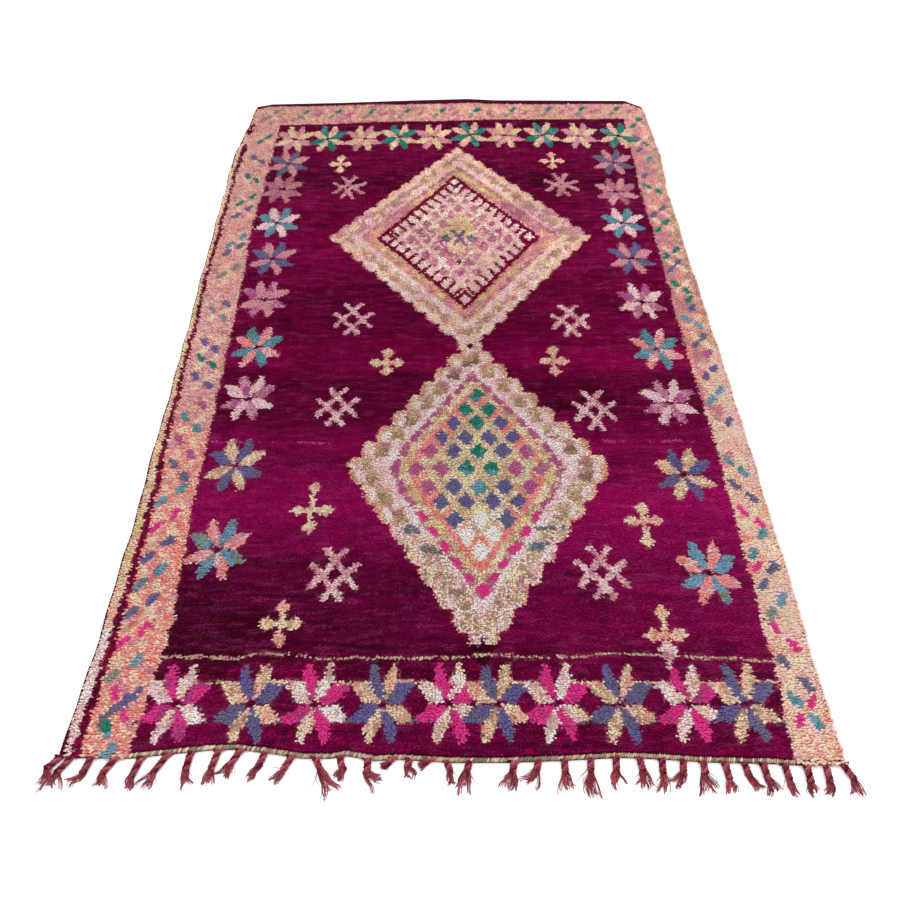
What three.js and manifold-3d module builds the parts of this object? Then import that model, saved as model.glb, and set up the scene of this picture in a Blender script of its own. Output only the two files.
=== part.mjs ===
// A hand-knotted wool rug that lies flat on the floor, with a fringe of plied tassels at its near end.
// Sizes are in millimetres. Across is X, along is Y and up is Z. While it is worked out, along is 0 at the
// near end of the pile and across is 0 on the rug's middle line. The last step centres the rug.
import * as THREE from 'three';
import { mergeVertices } from 'three/addons/utils/BufferGeometryUtils.js';
import Module from 'manifold-3d';

// Driving sizes of the cloth
const PILE_HEIGHT = 14;
const PILE_LUMP = 1.1;
const BROAD_LUMP = { across: 83, along: 117, share: 0.6 };
const FINE_LUMP = { across: 31, along: 47, share: 0.4 };
const RIM_HEIGHT = 9;
const RIM_LEAN = 5;
const RIM_LOCK = 2.5;
const RIM_LOCK_LENGTH = 37;
const RIM_LOCK_GROUP = 91;
const WEB_HEIGHT = 5;
const WEB_DEPTH = 24;
const WEB_STEP = 5;

// Driving sizes of the fringe
const SEAT_GAP = 0.3;
const STRIP_DEPTH = 6;
const STRIP_HEIGHT = 5;
const ROOT_WIDTH = 27;
const ROOT_LENGTH = 0.3;
const NECK_WIDTH = 12;
const NECK_HEIGHT = 8;
const NECK_BEND = 1 / 6;
const LOCK_COUNT = 3;
const LOCK_WIDTH = 6;
const LOCK_TIP_WIDTH = 2;
const LOCK_HEIGHT = 4;
const LOCK_OVERLAP = 5;
const LOCK_FAN = 7;
const LOCK_SWELL = 2;
const OUTER_LOCK_SHORTER = 0.12;

// How finely the cloth's outline and its lumpy top are stepped
const COLUMNS = 36;
const PILE_ROWS = 30;
const NECK_STEPS = 3;
const LOCK_STEPS = 2;

// The two long edges, from the near end to the far end
const SIDES = [
  { along: 0, left: -855, right: 858 },
  { along: 250, left: -847, right: 858 },
  { along: 600, left: -845, right: 861 },
  { along: 900, left: -852, right: 863 },
  { along: 1300, left: -857, right: 860 },
  { along: 1750, left: -870, right: 852 },
  { along: 2200, left: -880, right: 849 },
  { along: 2400, left: -886, right: 858 },
  { along: 2550, left: -884, right: 863 },
  { along: 2750, left: -864, right: 854 },
  { along: 2860, left: -856, right: 849 },
  { along: 2990, left: -846, right: 846 },
];

// The near end of the pile, a shallow wave from left to right
const NEAR_EDGE = [
  { across: -850, along: 17 },
  { across: -700, along: 15 },
  { across: -630, along: 23 },
  { across: -530, along: 33 },
  { across: -470, along: 35 },
  { across: -400, along: 27 },
  { across: -320, along: 15 },
  { across: -260, along: 15 },
  { across: -228, along: 21 },
  { across: -165, along: 10 },
  { across: -113, along: 13 },
  { across: 0, along: 6 },
  { across: 120, along: 6 },
  { across: 236, along: 10 },
  { across: 370, along: 17 },
  { across: 455, along: 14 },
  { across: 560, along: 7 },
  { across: 690, along: 4 },
  { across: 760, along: 0 },
  { across: 850, along: 1 },
];

// The far edge, where the flat-woven web ends
const FAR_EDGE = [
  { across: -850, along: 2916 },
  { across: -795, along: 2938 },
  { across: -480, along: 2953 },
  { across: -150, along: 2976 },
  { across: 83, along: 2989 },
  { across: 205, along: 2976 },
  { across: 790, along: 2971 },
  { across: 850, along: 2920 },
];

// Each tassel's root on the near edge, then where its plied neck comes loose and where its tip lies,
// both as steps from the root. Along counts towards the viewer.
const TASSELS = [
  { root: -849, neckAcross: -24, neckAlong: 28, tipAcross: -16, tipAlong: 66 },
  { root: -825, neckAcross: -23, neckAlong: 36, tipAcross: -22, tipAlong: 75 },
  { root: -782, neckAcross: -11, neckAlong: 39, tipAcross: -33, tipAlong: 65 },
  { root: -728, neckAcross: -21, neckAlong: 36, tipAcross: -29, tipAlong: 69 },
  { root: -673, neckAcross: -13, neckAlong: 49, tipAcross: -17, tipAlong: 77 },
  { root: -616, neckAcross: -24, neckAlong: 43, tipAcross: -37, tipAlong: 78 },
  { root: -567, neckAcross: -5, neckAlong: 44, tipAcross: -2, tipAlong: 89 },
  { root: -507, neckAcross: -11, neckAlong: 48, tipAcross: -16, tipAlong: 78 },
  { root: -458, neckAcross: -19, neckAlong: 36, tipAcross: -34, tipAlong: 73 },
  { root: -404, neckAcross: -12, neckAlong: 35, tipAcross: -37, tipAlong: 65 },
  { root: -344, neckAcross: -17, neckAlong: 32, tipAcross: -44, tipAlong: 56 },
  { root: -295, neckAcross: 15, neckAlong: 29, tipAcross: 44, tipAlong: 86 },
  { root: -241, neckAcross: 9, neckAlong: 33, tipAcross: -6, tipAlong: 57 },
  { root: -179, neckAcross: 0, neckAlong: 33, tipAcross: 33, tipAlong: 54 },
  { root: -124, neckAcross: -14, neckAlong: 16, tipAcross: -26, tipAlong: 24 },
  { root: -88, neckAcross: -4, neckAlong: 20, tipAcross: 5, tipAlong: 50 },
  { root: -42, neckAcross: -14, neckAlong: 9, tipAcross: -28, tipAlong: 15 },
  { root: -7, neckAcross: 7, neckAlong: 24, tipAcross: 11, tipAlong: 51 },
  { root: 43, neckAcross: -7, neckAlong: 24, tipAcross: -11, tipAlong: 72 },
  { root: 140, neckAcross: -5, neckAlong: 27, tipAcross: -13, tipAlong: 67 },
  { root: 194, neckAcross: -7, neckAlong: 22, tipAcross: -30, tipAlong: 53 },
  { root: 249, neckAcross: 0, neckAlong: 34, tipAcross: 6, tipAlong: 72 },
  { root: 307, neckAcross: -3, neckAlong: 30, tipAcross: -9, tipAlong: 84 },
  { root: 362, neckAcross: -2, neckAlong: 31, tipAcross: -8, tipAlong: 71 },
  { root: 413, neckAcross: 4, neckAlong: 32, tipAcross: 4, tipAlong: 76 },
  { root: 462, neckAcross: -3, neckAlong: 36, tipAcross: -2, tipAlong: 79 },
  { root: 508, neckAcross: -6, neckAlong: 36, tipAcross: -32, tipAlong: 58 },
  { root: 550, neckAcross: 1, neckAlong: 30, tipAcross: 9, tipAlong: 72 },
  { root: 597, neckAcross: 3, neckAlong: 40, tipAcross: 7, tipAlong: 77 },
  { root: 639, neckAcross: 5, neckAlong: 35, tipAcross: 23, tipAlong: 67 },
  { root: 679, neckAcross: 4, neckAlong: 39, tipAcross: 14, tipAlong: 70 },
  { root: 726, neckAcross: 2, neckAlong: 37, tipAcross: 7, tipAlong: 73 },
  { root: 773, neckAcross: 0, neckAlong: 42, tipAcross: 8, tipAlong: 70 },
  { root: 815, neckAcross: -1, neckAlong: 42, tipAcross: -2, tipAlong: 73 },
  { root: 852, neckAcross: 16, neckAlong: 36, tipAcross: 25, tipAlong: 78 },
];

const wasm = await Module();
wasm.setup();

// Reads one column of a table at a place between its rows.
function readTable(table, key, place, column) {
  const next = table.findIndex((row) => row[key] >= place);
  if (next === 0) {
    return table[0][column];
  }
  if (next < 0) {
    return table[table.length - 1][column];
  }
  const before = table[next - 1];
  const after = table[next];
  const share = THREE.MathUtils.inverseLerp(before[key], after[key], place);
  return THREE.MathUtils.lerp(before[column], after[column], share);
}

// The pile's long edges end in locks that stand out a little more or less.
function rimLock(along) {
  return RIM_LOCK * Math.sin(along / RIM_LOCK_LENGTH) * Math.cos(along / RIM_LOCK_GROUP);
}

// A point of the cloth in plan. The first share runs from the left edge to the right one, and the steps
// along count whole rows of pile, then the step down to the web and the web's own edge.
function planPoint(shareAcross, row) {
  const nominal = THREE.MathUtils.lerp(SIDES[0].left, SIDES[0].right, shareAcross);
  const near = readTable(NEAR_EDGE, 'across', nominal, 'along');
  const far = readTable(FAR_EDGE, 'across', nominal, 'along');
  const pileEnd = far - WEB_DEPTH;
  const afterPile = [pileEnd, pileEnd + WEB_STEP, far];
  const inPile = THREE.MathUtils.lerp(near, pileEnd, row / PILE_ROWS);
  const along = row < PILE_ROWS ? inPile : afterPile[row - PILE_ROWS];
  const left = readTable(SIDES, 'along', along, 'left') - rimLock(along);
  const right = readTable(SIDES, 'along', along, 'right') + rimLock(along + WEB_DEPTH);
  return new THREE.Vector2(THREE.MathUtils.lerp(left, right, shareAcross), along);
}

// The pile's top is a little lumpy, and the far web lies lower.
function topHeight(plan, row) {
  if (row > PILE_ROWS) {
    return WEB_HEIGHT;
  }
  const broad = Math.sin(plan.x / BROAD_LUMP.across) * Math.cos(plan.y / BROAD_LUMP.along);
  const fine = Math.sin(plan.x / FINE_LUMP.across + plan.y / FINE_LUMP.along);
  return PILE_HEIGHT + PILE_LUMP * (BROAD_LUMP.share * broad + FINE_LUMP.share * fine);
}

// Keeps only a geometry's positions and shares its corners, so that it is one closed surface.
function closeUp(geometry) {
  geometry.deleteAttribute('normal');
  geometry.deleteAttribute('uv');
  return mergeVertices(geometry);
}

// The cloth is a flat slab whose rim stands up, then leans in to the top of the pile.
function clothGeometry() {
  const rows = PILE_ROWS + 2;
  const slab = closeUp(new THREE.BoxGeometry(1, 1, 1, COLUMNS, rows, 2));
  const points = slab.attributes.position;
  for (let i = 0; i < points.count; i += 1) {
    const across = points.getX(i);
    const row = Math.round((points.getY(i) + 0.5) * rows);
    const layer = Math.round((points.getZ(i) + 0.5) * 2);
    const plan = planPoint(across + 0.5, row);
    const top = topHeight(plan, row);
    const heights = [0, Math.min(RIM_HEIGHT, top / 2), top];
    if (layer === 2) {
      plan.x -= RIM_LEAN * Math.trunc(across * 2);
      plan.y += row === 0 ? RIM_LEAN : 0;
    }
    points.setXYZ(i, plan.x, plan.y, heights[layer]);
  }
  slab.computeVertexNormals();
  return slab;
}

// Lays an upright shape of unit size along a curve on the floor. Its base stays level on the floor.
function layAlong(geometry, curve, width, height) {
  const points = geometry.attributes.position;
  for (let i = 0; i < points.count; i += 1) {
    const share = THREE.MathUtils.clamp(points.getY(i) + 0.5, 0, 1);
    const centre = curve.getPoint(share);
    const forward = curve.getTangent(share);
    const aside = new THREE.Vector3(forward.y, -forward.x, 0);
    centre.addScaledVector(aside, points.getX(i) * width(share));
    points.setXYZ(i, centre.x, centre.y, (points.getZ(i) + 0.5) * height(share));
  }
  return geometry;
}

// A strand of unit size with three sides, its flat side down.
function unitStrand() {
  const round = new THREE.CylinderGeometry(1, 1, 1, 3, LOCK_STEPS);
  round.computeBoundingBox();
  const size = round.boundingBox.getSize(new THREE.Vector3());
  round.translate(0, 0, -round.boundingBox.min.z);
  round.scale(1 / size.x, 1, 1 / size.z);
  round.translate(0, 0, -0.5);
  return closeUp(round);
}

// Turns a closed geometry into a solid that can be joined.
function solidOf(geometry) {
  const mesh = new wasm.Mesh({
    numProp: 3,
    vertProperties: new Float32Array(geometry.attributes.position.array),
    triVerts: new Uint32Array(geometry.index.array),
  });
  return new wasm.Manifold(mesh);
}

// A band along the pile's near edge, with its far and near sides given as steps from that edge. Its two
// ends can reach past the cloth.
function edgeBand(farStep, nearStep, low, high, pastEnds) {
  const band = closeUp(new THREE.BoxGeometry(1, 1, 1, COLUMNS, 1, 1));
  const points = band.attributes.position;
  for (let i = 0; i < points.count; i += 1) {
    const plan = planPoint(points.getX(i) + 0.5, 0);
    const step = points.getY(i) > 0 ? farStep : nearStep;
    plan.x += pastEnds * Math.trunc(points.getX(i) * 2);
    points.setXYZ(i, plan.x, plan.y + step, points.getZ(i) > 0 ? high : low);
  }
  return solidOf(band);
}

// A neck is wide where it gathers the warps at the edge, then even down to where it comes loose.
function neckWidth(share) {
  const gathered = Math.max(0, 1 - share / ROOT_LENGTH);
  return NECK_WIDTH + (ROOT_WIDTH - NECK_WIDTH) * gathered * gathered;
}

// A neck starts level with the strip and swells to a full ply.
function neckHeight(share) {
  return THREE.MathUtils.lerp(STRIP_HEIGHT, NECK_HEIGHT, Math.min(1, share / ROOT_LENGTH));
}

// One tassel: a plied neck, then loose locks that fan out from it on the floor.
function tasselSolids(row) {
  const edge = readTable(NEAR_EDGE, 'across', row.root, 'along');
  const root = new THREE.Vector3(row.root, edge - SEAT_GAP - STRIP_DEPTH / 2, 0);
  const neckEnd = new THREE.Vector3(row.root + row.neckAcross, edge - row.neckAlong, 0);
  const tip = new THREE.Vector3(row.root + row.tipAcross, edge - row.tipAlong, 0);
  const bend = root.clone().lerp(neckEnd, 0.5);
  bend.x -= row.neckAcross * NECK_BEND;
  const neckLine = new THREE.QuadraticBezierCurve3(root, bend, neckEnd);
  const neckBar = closeUp(new THREE.BoxGeometry(1, 1, 1, 1, NECK_STEPS, 1));
  const solids = [solidOf(layAlong(neckBar, neckLine, neckWidth, neckHeight))];

  const forward = neckLine.getTangent(1);
  const aside = new THREE.Vector3(forward.y, -forward.x, 0);
  const reach = neckEnd.distanceTo(tip);
  for (let i = 0; i < LOCK_COUNT; i += 1) {
    const side = i - (LOCK_COUNT - 1) / 2;
    const start = neckEnd.clone().addScaledVector(forward, -LOCK_OVERLAP);
    start.addScaledVector(aside, (side * (NECK_WIDTH - LOCK_WIDTH)) / LOCK_COUNT);
    const end = tip.clone().addScaledVector(aside, side * LOCK_FAN);
    end.lerp(neckEnd, OUTER_LOCK_SHORTER * Math.abs(side));
    const swell = start.clone().addScaledVector(forward, reach / 2);
    swell.addScaledVector(aside, side * LOCK_SWELL);
    const lockLine = new THREE.QuadraticBezierCurve3(start, swell, end);
    const lockWidth = (share) => THREE.MathUtils.lerp(LOCK_WIDTH, LOCK_TIP_WIDTH, share);
    const lockHeight = (share) => LOCK_HEIGHT * (1 - share / 2);
    solids.push(solidOf(layAlong(unitStrand(), lockLine, lockWidth, lockHeight)));
  }
  return solids;
}

// The fringe is a narrow strip with every tassel grown out of it. Its roots are trimmed to leave the seat
// gap along the cloth.
function fringeGeometry() {
  let fringe = edgeBand(-SEAT_GAP, -SEAT_GAP - STRIP_DEPTH, 0, STRIP_HEIGHT, 0);
  for (const row of TASSELS) {
    for (const strand of tasselSolids(row)) {
      fringe = fringe.add(strand);
    }
  }
  const trim = edgeBand(ROOT_WIDTH, -SEAT_GAP, -PILE_HEIGHT, PILE_HEIGHT, RIM_LOCK + SEAT_GAP);
  const joined = fringe.subtract(trim).getMesh();
  const geometry = new THREE.BufferGeometry();
  geometry.setAttribute('position', new THREE.BufferAttribute(joined.vertProperties, 3));
  geometry.setIndex(new THREE.BufferAttribute(joined.triVerts, 1));
  geometry.computeVertexNormals();
  return geometry;
}

// Deep magenta wool with a dull, soft nap.
function pileMaterial() {
  return new THREE.MeshStandardMaterial({ color: 0x7a0a52, roughness: 0.95, metalness: 0 });
}

// Plied wool warps, dyed dark red.
function warpMaterial() {
  return new THREE.MeshStandardMaterial({ color: 0x6e1e3c, roughness: 0.9, metalness: 0 });
}

function namedMesh(name, geometry, material) {
  const mesh = new THREE.Mesh(geometry, material);
  mesh.name = name;
  return mesh;
}

const rug = new THREE.Group();
rug.add(namedMesh('rug_body', clothGeometry(), pileMaterial()));
rug.add(namedMesh('fringe', fringeGeometry(), warpMaterial()));

// The rug's origin is under the middle of all of it, fringe and cloth together.
const extent = new THREE.Box3().setFromObject(rug);
const middle = extent.getCenter(new THREE.Vector3());
rug.position.set(-middle.x, -middle.y, -extent.min.z);

export default rug;
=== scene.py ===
# %% [markdown]
# This lesson finishes a hand-knotted wool rug: a magenta field with two pale lozenges, stars and small
# crosses, a dashed border, and plied tassels along the near end. A plain model of it, at its real size, is
# loaded first. Every piece made here is put in that model's own frame, in metres, so nothing is fitted
# by eye afterwards.

import math

import bmesh
import bpy
import numpy as np
from mathutils import Matrix, Vector


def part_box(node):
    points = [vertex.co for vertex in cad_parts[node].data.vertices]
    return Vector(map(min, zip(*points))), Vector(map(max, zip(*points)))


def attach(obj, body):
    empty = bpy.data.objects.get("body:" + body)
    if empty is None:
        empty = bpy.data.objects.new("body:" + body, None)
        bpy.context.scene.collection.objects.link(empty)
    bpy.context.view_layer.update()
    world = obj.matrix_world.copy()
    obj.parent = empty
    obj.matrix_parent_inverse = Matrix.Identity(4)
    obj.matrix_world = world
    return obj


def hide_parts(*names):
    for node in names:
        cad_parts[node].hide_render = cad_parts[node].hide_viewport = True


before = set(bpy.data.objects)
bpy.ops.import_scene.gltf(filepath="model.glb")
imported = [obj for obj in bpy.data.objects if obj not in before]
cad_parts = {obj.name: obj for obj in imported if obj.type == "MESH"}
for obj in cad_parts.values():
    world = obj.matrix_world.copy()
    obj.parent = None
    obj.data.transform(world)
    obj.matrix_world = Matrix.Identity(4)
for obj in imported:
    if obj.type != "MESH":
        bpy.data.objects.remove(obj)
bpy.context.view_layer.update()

# %% [markdown]
# The rug's outline is uneven, as on a village loom. Three short tables hold it in millimetres: the two long
# edges, the near end of the pile, and the far end of the flat-woven web. Across is counted from the rug's
# middle line, and along from the near end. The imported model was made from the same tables, so comparing
# this outline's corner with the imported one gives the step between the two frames.

# %% The outline in millimetres
MM = 0.001
SIDE_ALONG = (0, 250, 600, 900, 1300, 1750, 2200, 2400, 2550, 2750, 2860, 2990)
SIDE_LEFT = (-855, -847, -845, -852, -857, -870, -880, -886, -884, -864, -856, -846)
SIDE_RIGHT = (858, 858, 861, 863, 860, 852, 849, 858, 863, 854, 849, 846)
NEAR_ACROSS = (-850, -700, -630, -530, -470, -400, -320, -260, -228, -165, -113,
               0, 120, 236, 370, 455, 560, 690, 760, 850)
NEAR_ALONG = (17, 15, 23, 33, 35, 27, 15, 15, 21, 10, 13, 6, 6, 10, 17, 14, 7, 4, 0, 1)
FAR_ACROSS = (-850, -795, -480, -150, 83, 205, 790, 850)
FAR_ALONG = (2916, 2938, 2953, 2976, 2989, 2976, 2971, 2920)
RIM_LOCK = 2.5
RIM_LOCK_LENGTH = 37
RIM_LOCK_GROUP = 91
WEB_DEPTH = 24
COLUMNS = 36
PILE_ROWS = 30
NEAR_WIDTH = SIDE_RIGHT[0] - SIDE_LEFT[0]


def rim_lock(along):
    """How far the locks of the long edges stand out at a place along them."""
    return RIM_LOCK * np.sin(along / RIM_LOCK_LENGTH) * np.cos(along / RIM_LOCK_GROUP)


def near_edge(across):
    return np.interp(across, NEAR_ACROSS, NEAR_ALONG)


def far_edge(across):
    return np.interp(across, FAR_ACROSS, FAR_ALONG)


def left_edge(along):
    return np.interp(along, SIDE_ALONG, SIDE_LEFT) - rim_lock(along)


def right_edge(along):
    return np.interp(along, SIDE_ALONG, SIDE_RIGHT) + rim_lock(along + WEB_DEPTH)


def in_plan(share_across, share_along, depth_of_web=WEB_DEPTH):
    """A place on the cloth from its shares, 0 to 1 across and 0 to 1 from the near end to the far one."""
    nominal = SIDE_LEFT[0] + NEAR_WIDTH * share_across
    near = near_edge(nominal)
    along = near + (far_edge(nominal) - depth_of_web - near) * share_along
    left = left_edge(along)
    return left + (right_edge(along) - left) * share_across, along


rows = np.append(np.linspace(0, 1, PILE_ROWS + 1), 1)[:, None]
webs = np.append(np.full(PILE_ROWS + 1, WEB_DEPTH), 0)[:, None]
outline_x, outline_y = in_plan(np.linspace(0, 1, COLUMNS + 1)[None, :], rows, webs)
body_low, body_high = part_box("rug_body")
STEP_X = body_low.x / MM - outline_x.min()
STEP_Y = body_low.y / MM - outline_y.min()
print("step to the frame:", round(STEP_X, 3), round(STEP_Y, 3), "mm; far corner differs by",
      round(body_high.x / MM - outline_x.max() - STEP_X, 3), "and",
      round(body_high.y / MM - outline_y.max() - STEP_Y, 3), "mm")


def to_frame(across, along, up=0.0):
    """Turns places on the rug, in millimetres, into the frame's metres."""
    across, along, up = np.broadcast_arrays(across, along, up)
    return np.stack([(across + STEP_X) * MM, (along + STEP_Y) * MM, up * MM], axis=-1)


# %% [markdown]
# The camera comes next. The rug's long edges meet at a vanishing point, which gives the pitch. The near
# edge is 1.70 m wide, which gives the distance. The eye is on the rug's middle line, as high as a standing
# person holds a camera.

# %% The camera
PHOTO_PIXELS = 900
FOCAL_PIXELS = 847
SENSOR_WIDTH = 36
EYE_HEIGHT = 1841
EYE_BEFORE_RUG = 693
PITCH_DOWN = math.radians(49.03)


def into_scene(name, data):
    """A new object of the scene, at the origin, for a mesh, a curve, a light or a camera."""
    made = bpy.data.objects.new(name, data)
    bpy.context.scene.collection.objects.link(made)
    return made


camera_data = bpy.data.cameras.new("camera")
camera_data.sensor_width = SENSOR_WIDTH
camera_data.sensor_fit = "HORIZONTAL"
camera_data.lens = FOCAL_PIXELS / PHOTO_PIXELS * SENSOR_WIDTH
camera = into_scene("camera", camera_data)
camera.location = Vector(to_frame(0, -EYE_BEFORE_RUG, EYE_HEIGHT))
camera.rotation_euler = (math.pi / 2 - PITCH_DOWN, 0, 0)
bpy.context.scene.camera = camera
print("lens", round(camera_data.lens, 2), "mm at", [round(v, 3) for v in camera.location])

# %% [markdown]
# Wool takes dye unevenly, and a weaver's hand isn't a ruler. Both are smooth noise: a lattice of seeded
# random numbers with a soft blend between them. One small function moves the motifs' edges, leans the nap
# and varies the dye. Each use has a grain of its own, which is the size of the bumps across and along the
# rug in millimetres, and a seed.

# %% Soft noise
LATTICE = 256


def soft_noise(x, y, grain):
    """Smooth noise from -1 to 1 at places, with about one bump for each length of the grain."""
    across, along, seed = grain
    lattice = np.random.default_rng(seed).uniform(-1, 1, (LATTICE, LATTICE))
    u, v = x / across, y / along
    column, row = np.floor(u).astype(int), np.floor(v).astype(int)
    u, v = u - column, v - row
    u, v = u * u * (3 - 2 * u), v * v * (3 - 2 * v)
    low, high = (lattice[column % LATTICE, line % LATTICE] * (1 - u)
                 + lattice[(column + 1) % LATTICE, line % LATTICE] * u for line in (row, row + 1))
    return low * (1 - v) + high * v


# %% [markdown]
# The dyes are named once, as they look on a screen under plain light. A shader works with linear light, so
# each is turned into that here, and everything later picks its colours by name.

# %% The dyes
def linear(red, green, blue):
    """A colour as it is seen on a screen, 0 to 255, made linear for the shader."""
    seen = np.array([red, green, blue], float) / 255
    return np.where(seen <= 0.04045, seen / 12.92, ((seen + 0.055) / 1.055) ** 2.4)


SEEN = {"field dark": (74, 0, 33), "field bright": (162, 8, 94), "field rose": (160, 3, 86),
        "maroon": (94, 4, 46), "wine": (136, 8, 62), "rose line": (190, 70, 140), "cream": (242, 216, 188),
        "straw": (232, 208, 158), "ivory": (250, 236, 228), "pale pink": (244, 208, 210),
        "pink": (222, 158, 168), "rose tan": (204, 146, 150), "peach": (244, 186, 166),
        "apricot": (243, 202, 178), "salmon": (246, 156, 150), "coral": (242, 142, 130),
        "hot pink": (234, 64, 150), "mauve": (192, 100, 152), "dusty mauve": (196, 122, 148),
        "lilac": (218, 160, 182), "indigo": (114, 106, 164), "sky": (124, 164, 188),
        "teal": (98, 156, 164), "green": (44, 138, 118), "grey green": (146, 154, 140),
        "grey blue": (118, 116, 144), "olive": (176, 152, 118), "beige": (212, 174, 146),
        "umber": (150, 120, 98), "hemp": (206, 184, 162), "hemp shade": (160, 142, 120)}
DYES = {name: linear(*seen) for name, seen in SEEN.items()}
print(len(DYES), "dyes")

# %% [markdown]
# The pattern is drawn the way a weaver counts it: each knot has a place, and a motif is a rule that says
# which knots are tied in which dye. A chart holds the knots' places and colours. It has four rules: any
# mask, a polygon, a stroke of some width, and a lozenge. Where a rule names several dyes, neighbouring
# knots mostly share one, as in wool carded from mixed fleece. The places wobble a little, so no edge is
# straight, and each knot strays a little by itself, because the locks at an edge lie over each other.

# %% The knot chart
EDGE_WOBBLE = 3.0
WOBBLE_ACROSS = (38, 29, 11)
WOBBLE_ALONG = (31, 33, 12)
ROW_SHIFT = 4.5
ROW_GRAIN = (45, 3.1, 13)
FEATHER = (1.7, 1.2)
# A grain, how strongly it sorts the knots, and how far a single knot strays from its neighbours
SHARE_PATCHES = ((17, 24, 15), 0.55, 0.08)
DYE_PATCHES = ((26, 38, 14), 0.65, 0.1)
BELOW_ONE = 0.999


class Chart:
    """Knots at places in millimetres, and the linear colour that each is tied in."""

    def __init__(self, across, along, seed):
        self.random = np.random.default_rng(seed)
        self.x = across + EDGE_WOBBLE * soft_noise(across, along, WOBBLE_ACROSS)
        self.y = along + EDGE_WOBBLE * soft_noise(across, along, WOBBLE_ALONG)
        self.x = self.x + ROW_SHIFT * soft_noise(across, along, ROW_GRAIN)
        self.x = self.x + self.random.normal(0, FEATHER[0], len(across))
        self.y = self.y + self.random.normal(0, FEATHER[1], len(across))
        self.colour = np.zeros((len(across), 3))

    def patch(self, which, grain, depth, stray):
        """A number about 0 to 1 for each knot, alike among neighbours."""
        shared = soft_noise(self.x[which], self.y[which], grain) * depth + 0.5
        return shared + self.random.normal(0, stray, len(which))

    def tie(self, which, *dyes, share=1.0):
        """Ties a share of the knots of a mask or a list of places in one dye, or in patches of several."""
        which = np.flatnonzero(which) if which.dtype == bool else which
        if share < 1:
            which = which[self.patch(which, *SHARE_PATCHES) < share]
        picked = np.clip(self.patch(which, *DYE_PATCHES), 0, BELOW_ONE) * len(dyes)
        self.colour[which] = np.array([DYES[dye] for dye in dyes])[picked.astype(int)]

    def close_to(self, low, high):
        """The knots inside a box."""
        inside = (self.x > low[0]) & (self.x < high[0]) & (self.y > low[1]) & (self.y < high[1])
        return np.flatnonzero(inside)

    def polygon(self, corners, *dyes):
        corners = np.array(corners, float)
        near = self.close_to(corners.min(0), corners.max(0))
        x, y = self.x[near], self.y[near]
        inside = np.zeros(len(near), bool)
        for (ax, ay), (bx, by) in zip(corners, np.roll(corners, -1, axis=0)):
            if ay != by:
                inside ^= ((ay > y) != (by > y)) & (x < (bx - ax) * (y - ay) / (by - ay) + ax)
        self.tie(near[inside], *dyes)

    def stroke(self, start, end, width, *dyes):
        start, end = np.array(start, float), np.array(end, float)
        near = self.close_to(np.minimum(start, end) - width, np.maximum(start, end) + width)
        run = end - start
        x, y = self.x[near] - start[0], self.y[near] - start[1]
        share = np.clip((x * run[0] + y * run[1]) / (run @ run), 0, 1)
        away = np.hypot(x - share * run[0], y - share * run[1])
        self.tie(near[away < width / 2], *dyes)

    def line(self, places, width, *dyes):
        for start, end in zip(places, places[1:]):
            self.stroke(start, end, width, *dyes)

    def lozenge(self, centre, half, *dyes):
        centre, half = np.array(centre, float), np.array(half, float)
        near = self.close_to(centre - half, centre + half)
        away = abs(self.x[near] - centre[0]) / half[0] + abs(self.y[near] - centre[1]) / half[1]
        self.tie(near[away < 1], *dyes)


# %% [markdown]
# The field comes first, with its abrash: bands where one batch of dyed wool gave way to the next. A few
# places along the rug say how bright the wool is at the left and at the right. Clouds and thin streaks
# along the weft rows vary it, and a faint haze of paler wool lies over some rows.

# %% The field
FIELD_LEFT = ((0, -701), (200, -686), (330, -673), (650, -695), (1100, -704), (1700, -720), (2000, -735),
              (2200, -730), (2760, -729))
FIELD_RIGHT = ((0, 746), (200, 758), (900, 764), (1300, 753), (2000, 749), (2200, 742), (2800, 752))
FIELD_FAR = ((-720, 2744), (-500, 2756), (-300, 2775), (-100, 2778), (0, 2784), (200, 2794), (740, 2800))
# Place along the rug, then how bright the wool is at the left and at the right
ABRASH = ((0, 0.4, 0.3), (120, 0.4, 0.35), (240, 0.08, 0.36), (330, 0.07, 0.66), (420, 0.12, 0.68),
          (500, 0.2, 0.48), (560, 0.56, 0.92), (620, 0.74, 0.94), (690, 0.84, 1.17), (750, 0.82, 1.08),
          (800, 0.77, 0.76), (860, 0.54, 0.7), (920, 0.7, 0.72), (980, 0.44, 0.48), (1040, 0.26, 0.38),
          (1160, 0.34, 0.34), (1222, 0.42, 0.44), (1240, 0.65, 0.9), (1300, 0.6, 0.82), (1360, 0.42, 0.48),
          (1500, 0.36, 0.46), (1640, 0.34, 0.46), (1760, 0.5, 0.53), (1900, 0.55, 0.44), (2060, 0.48, 0.32),
          (2160, 0.46, 0.4), (2240, 0.28, 0.22), (2300, 0.13, 0.06), (2400, 0.28, 0.3), (2540, 0.41, 0.36),
          (2700, 0.24, 0.12), (2800, 0.26, 0.1))
# Where the left column of that table begins to give way to the right one, and how wide the change is
ABRASH_FROM, ABRASH_REACH = -500, 1000
BAND_BEND = 12
BAND_GRAIN = (260, 400, 21)
# How strongly each kind of cloud or streak brightens the field, and its grain
CLOUDS = ((0.16, (150, 12, 22)), (0.12, (60, 40, 23)), (0.16, (40, 5, 27)))
BRIGHTEST = 1.3
# Where along the rug the near batch of wool gives way to the far one
BATCH_FROM, BATCH_REACH = 900, 300
HAZE, HAZE_START, HAZE_GRAIN = 0.3, 0.1, (34, 5, 29)
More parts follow.
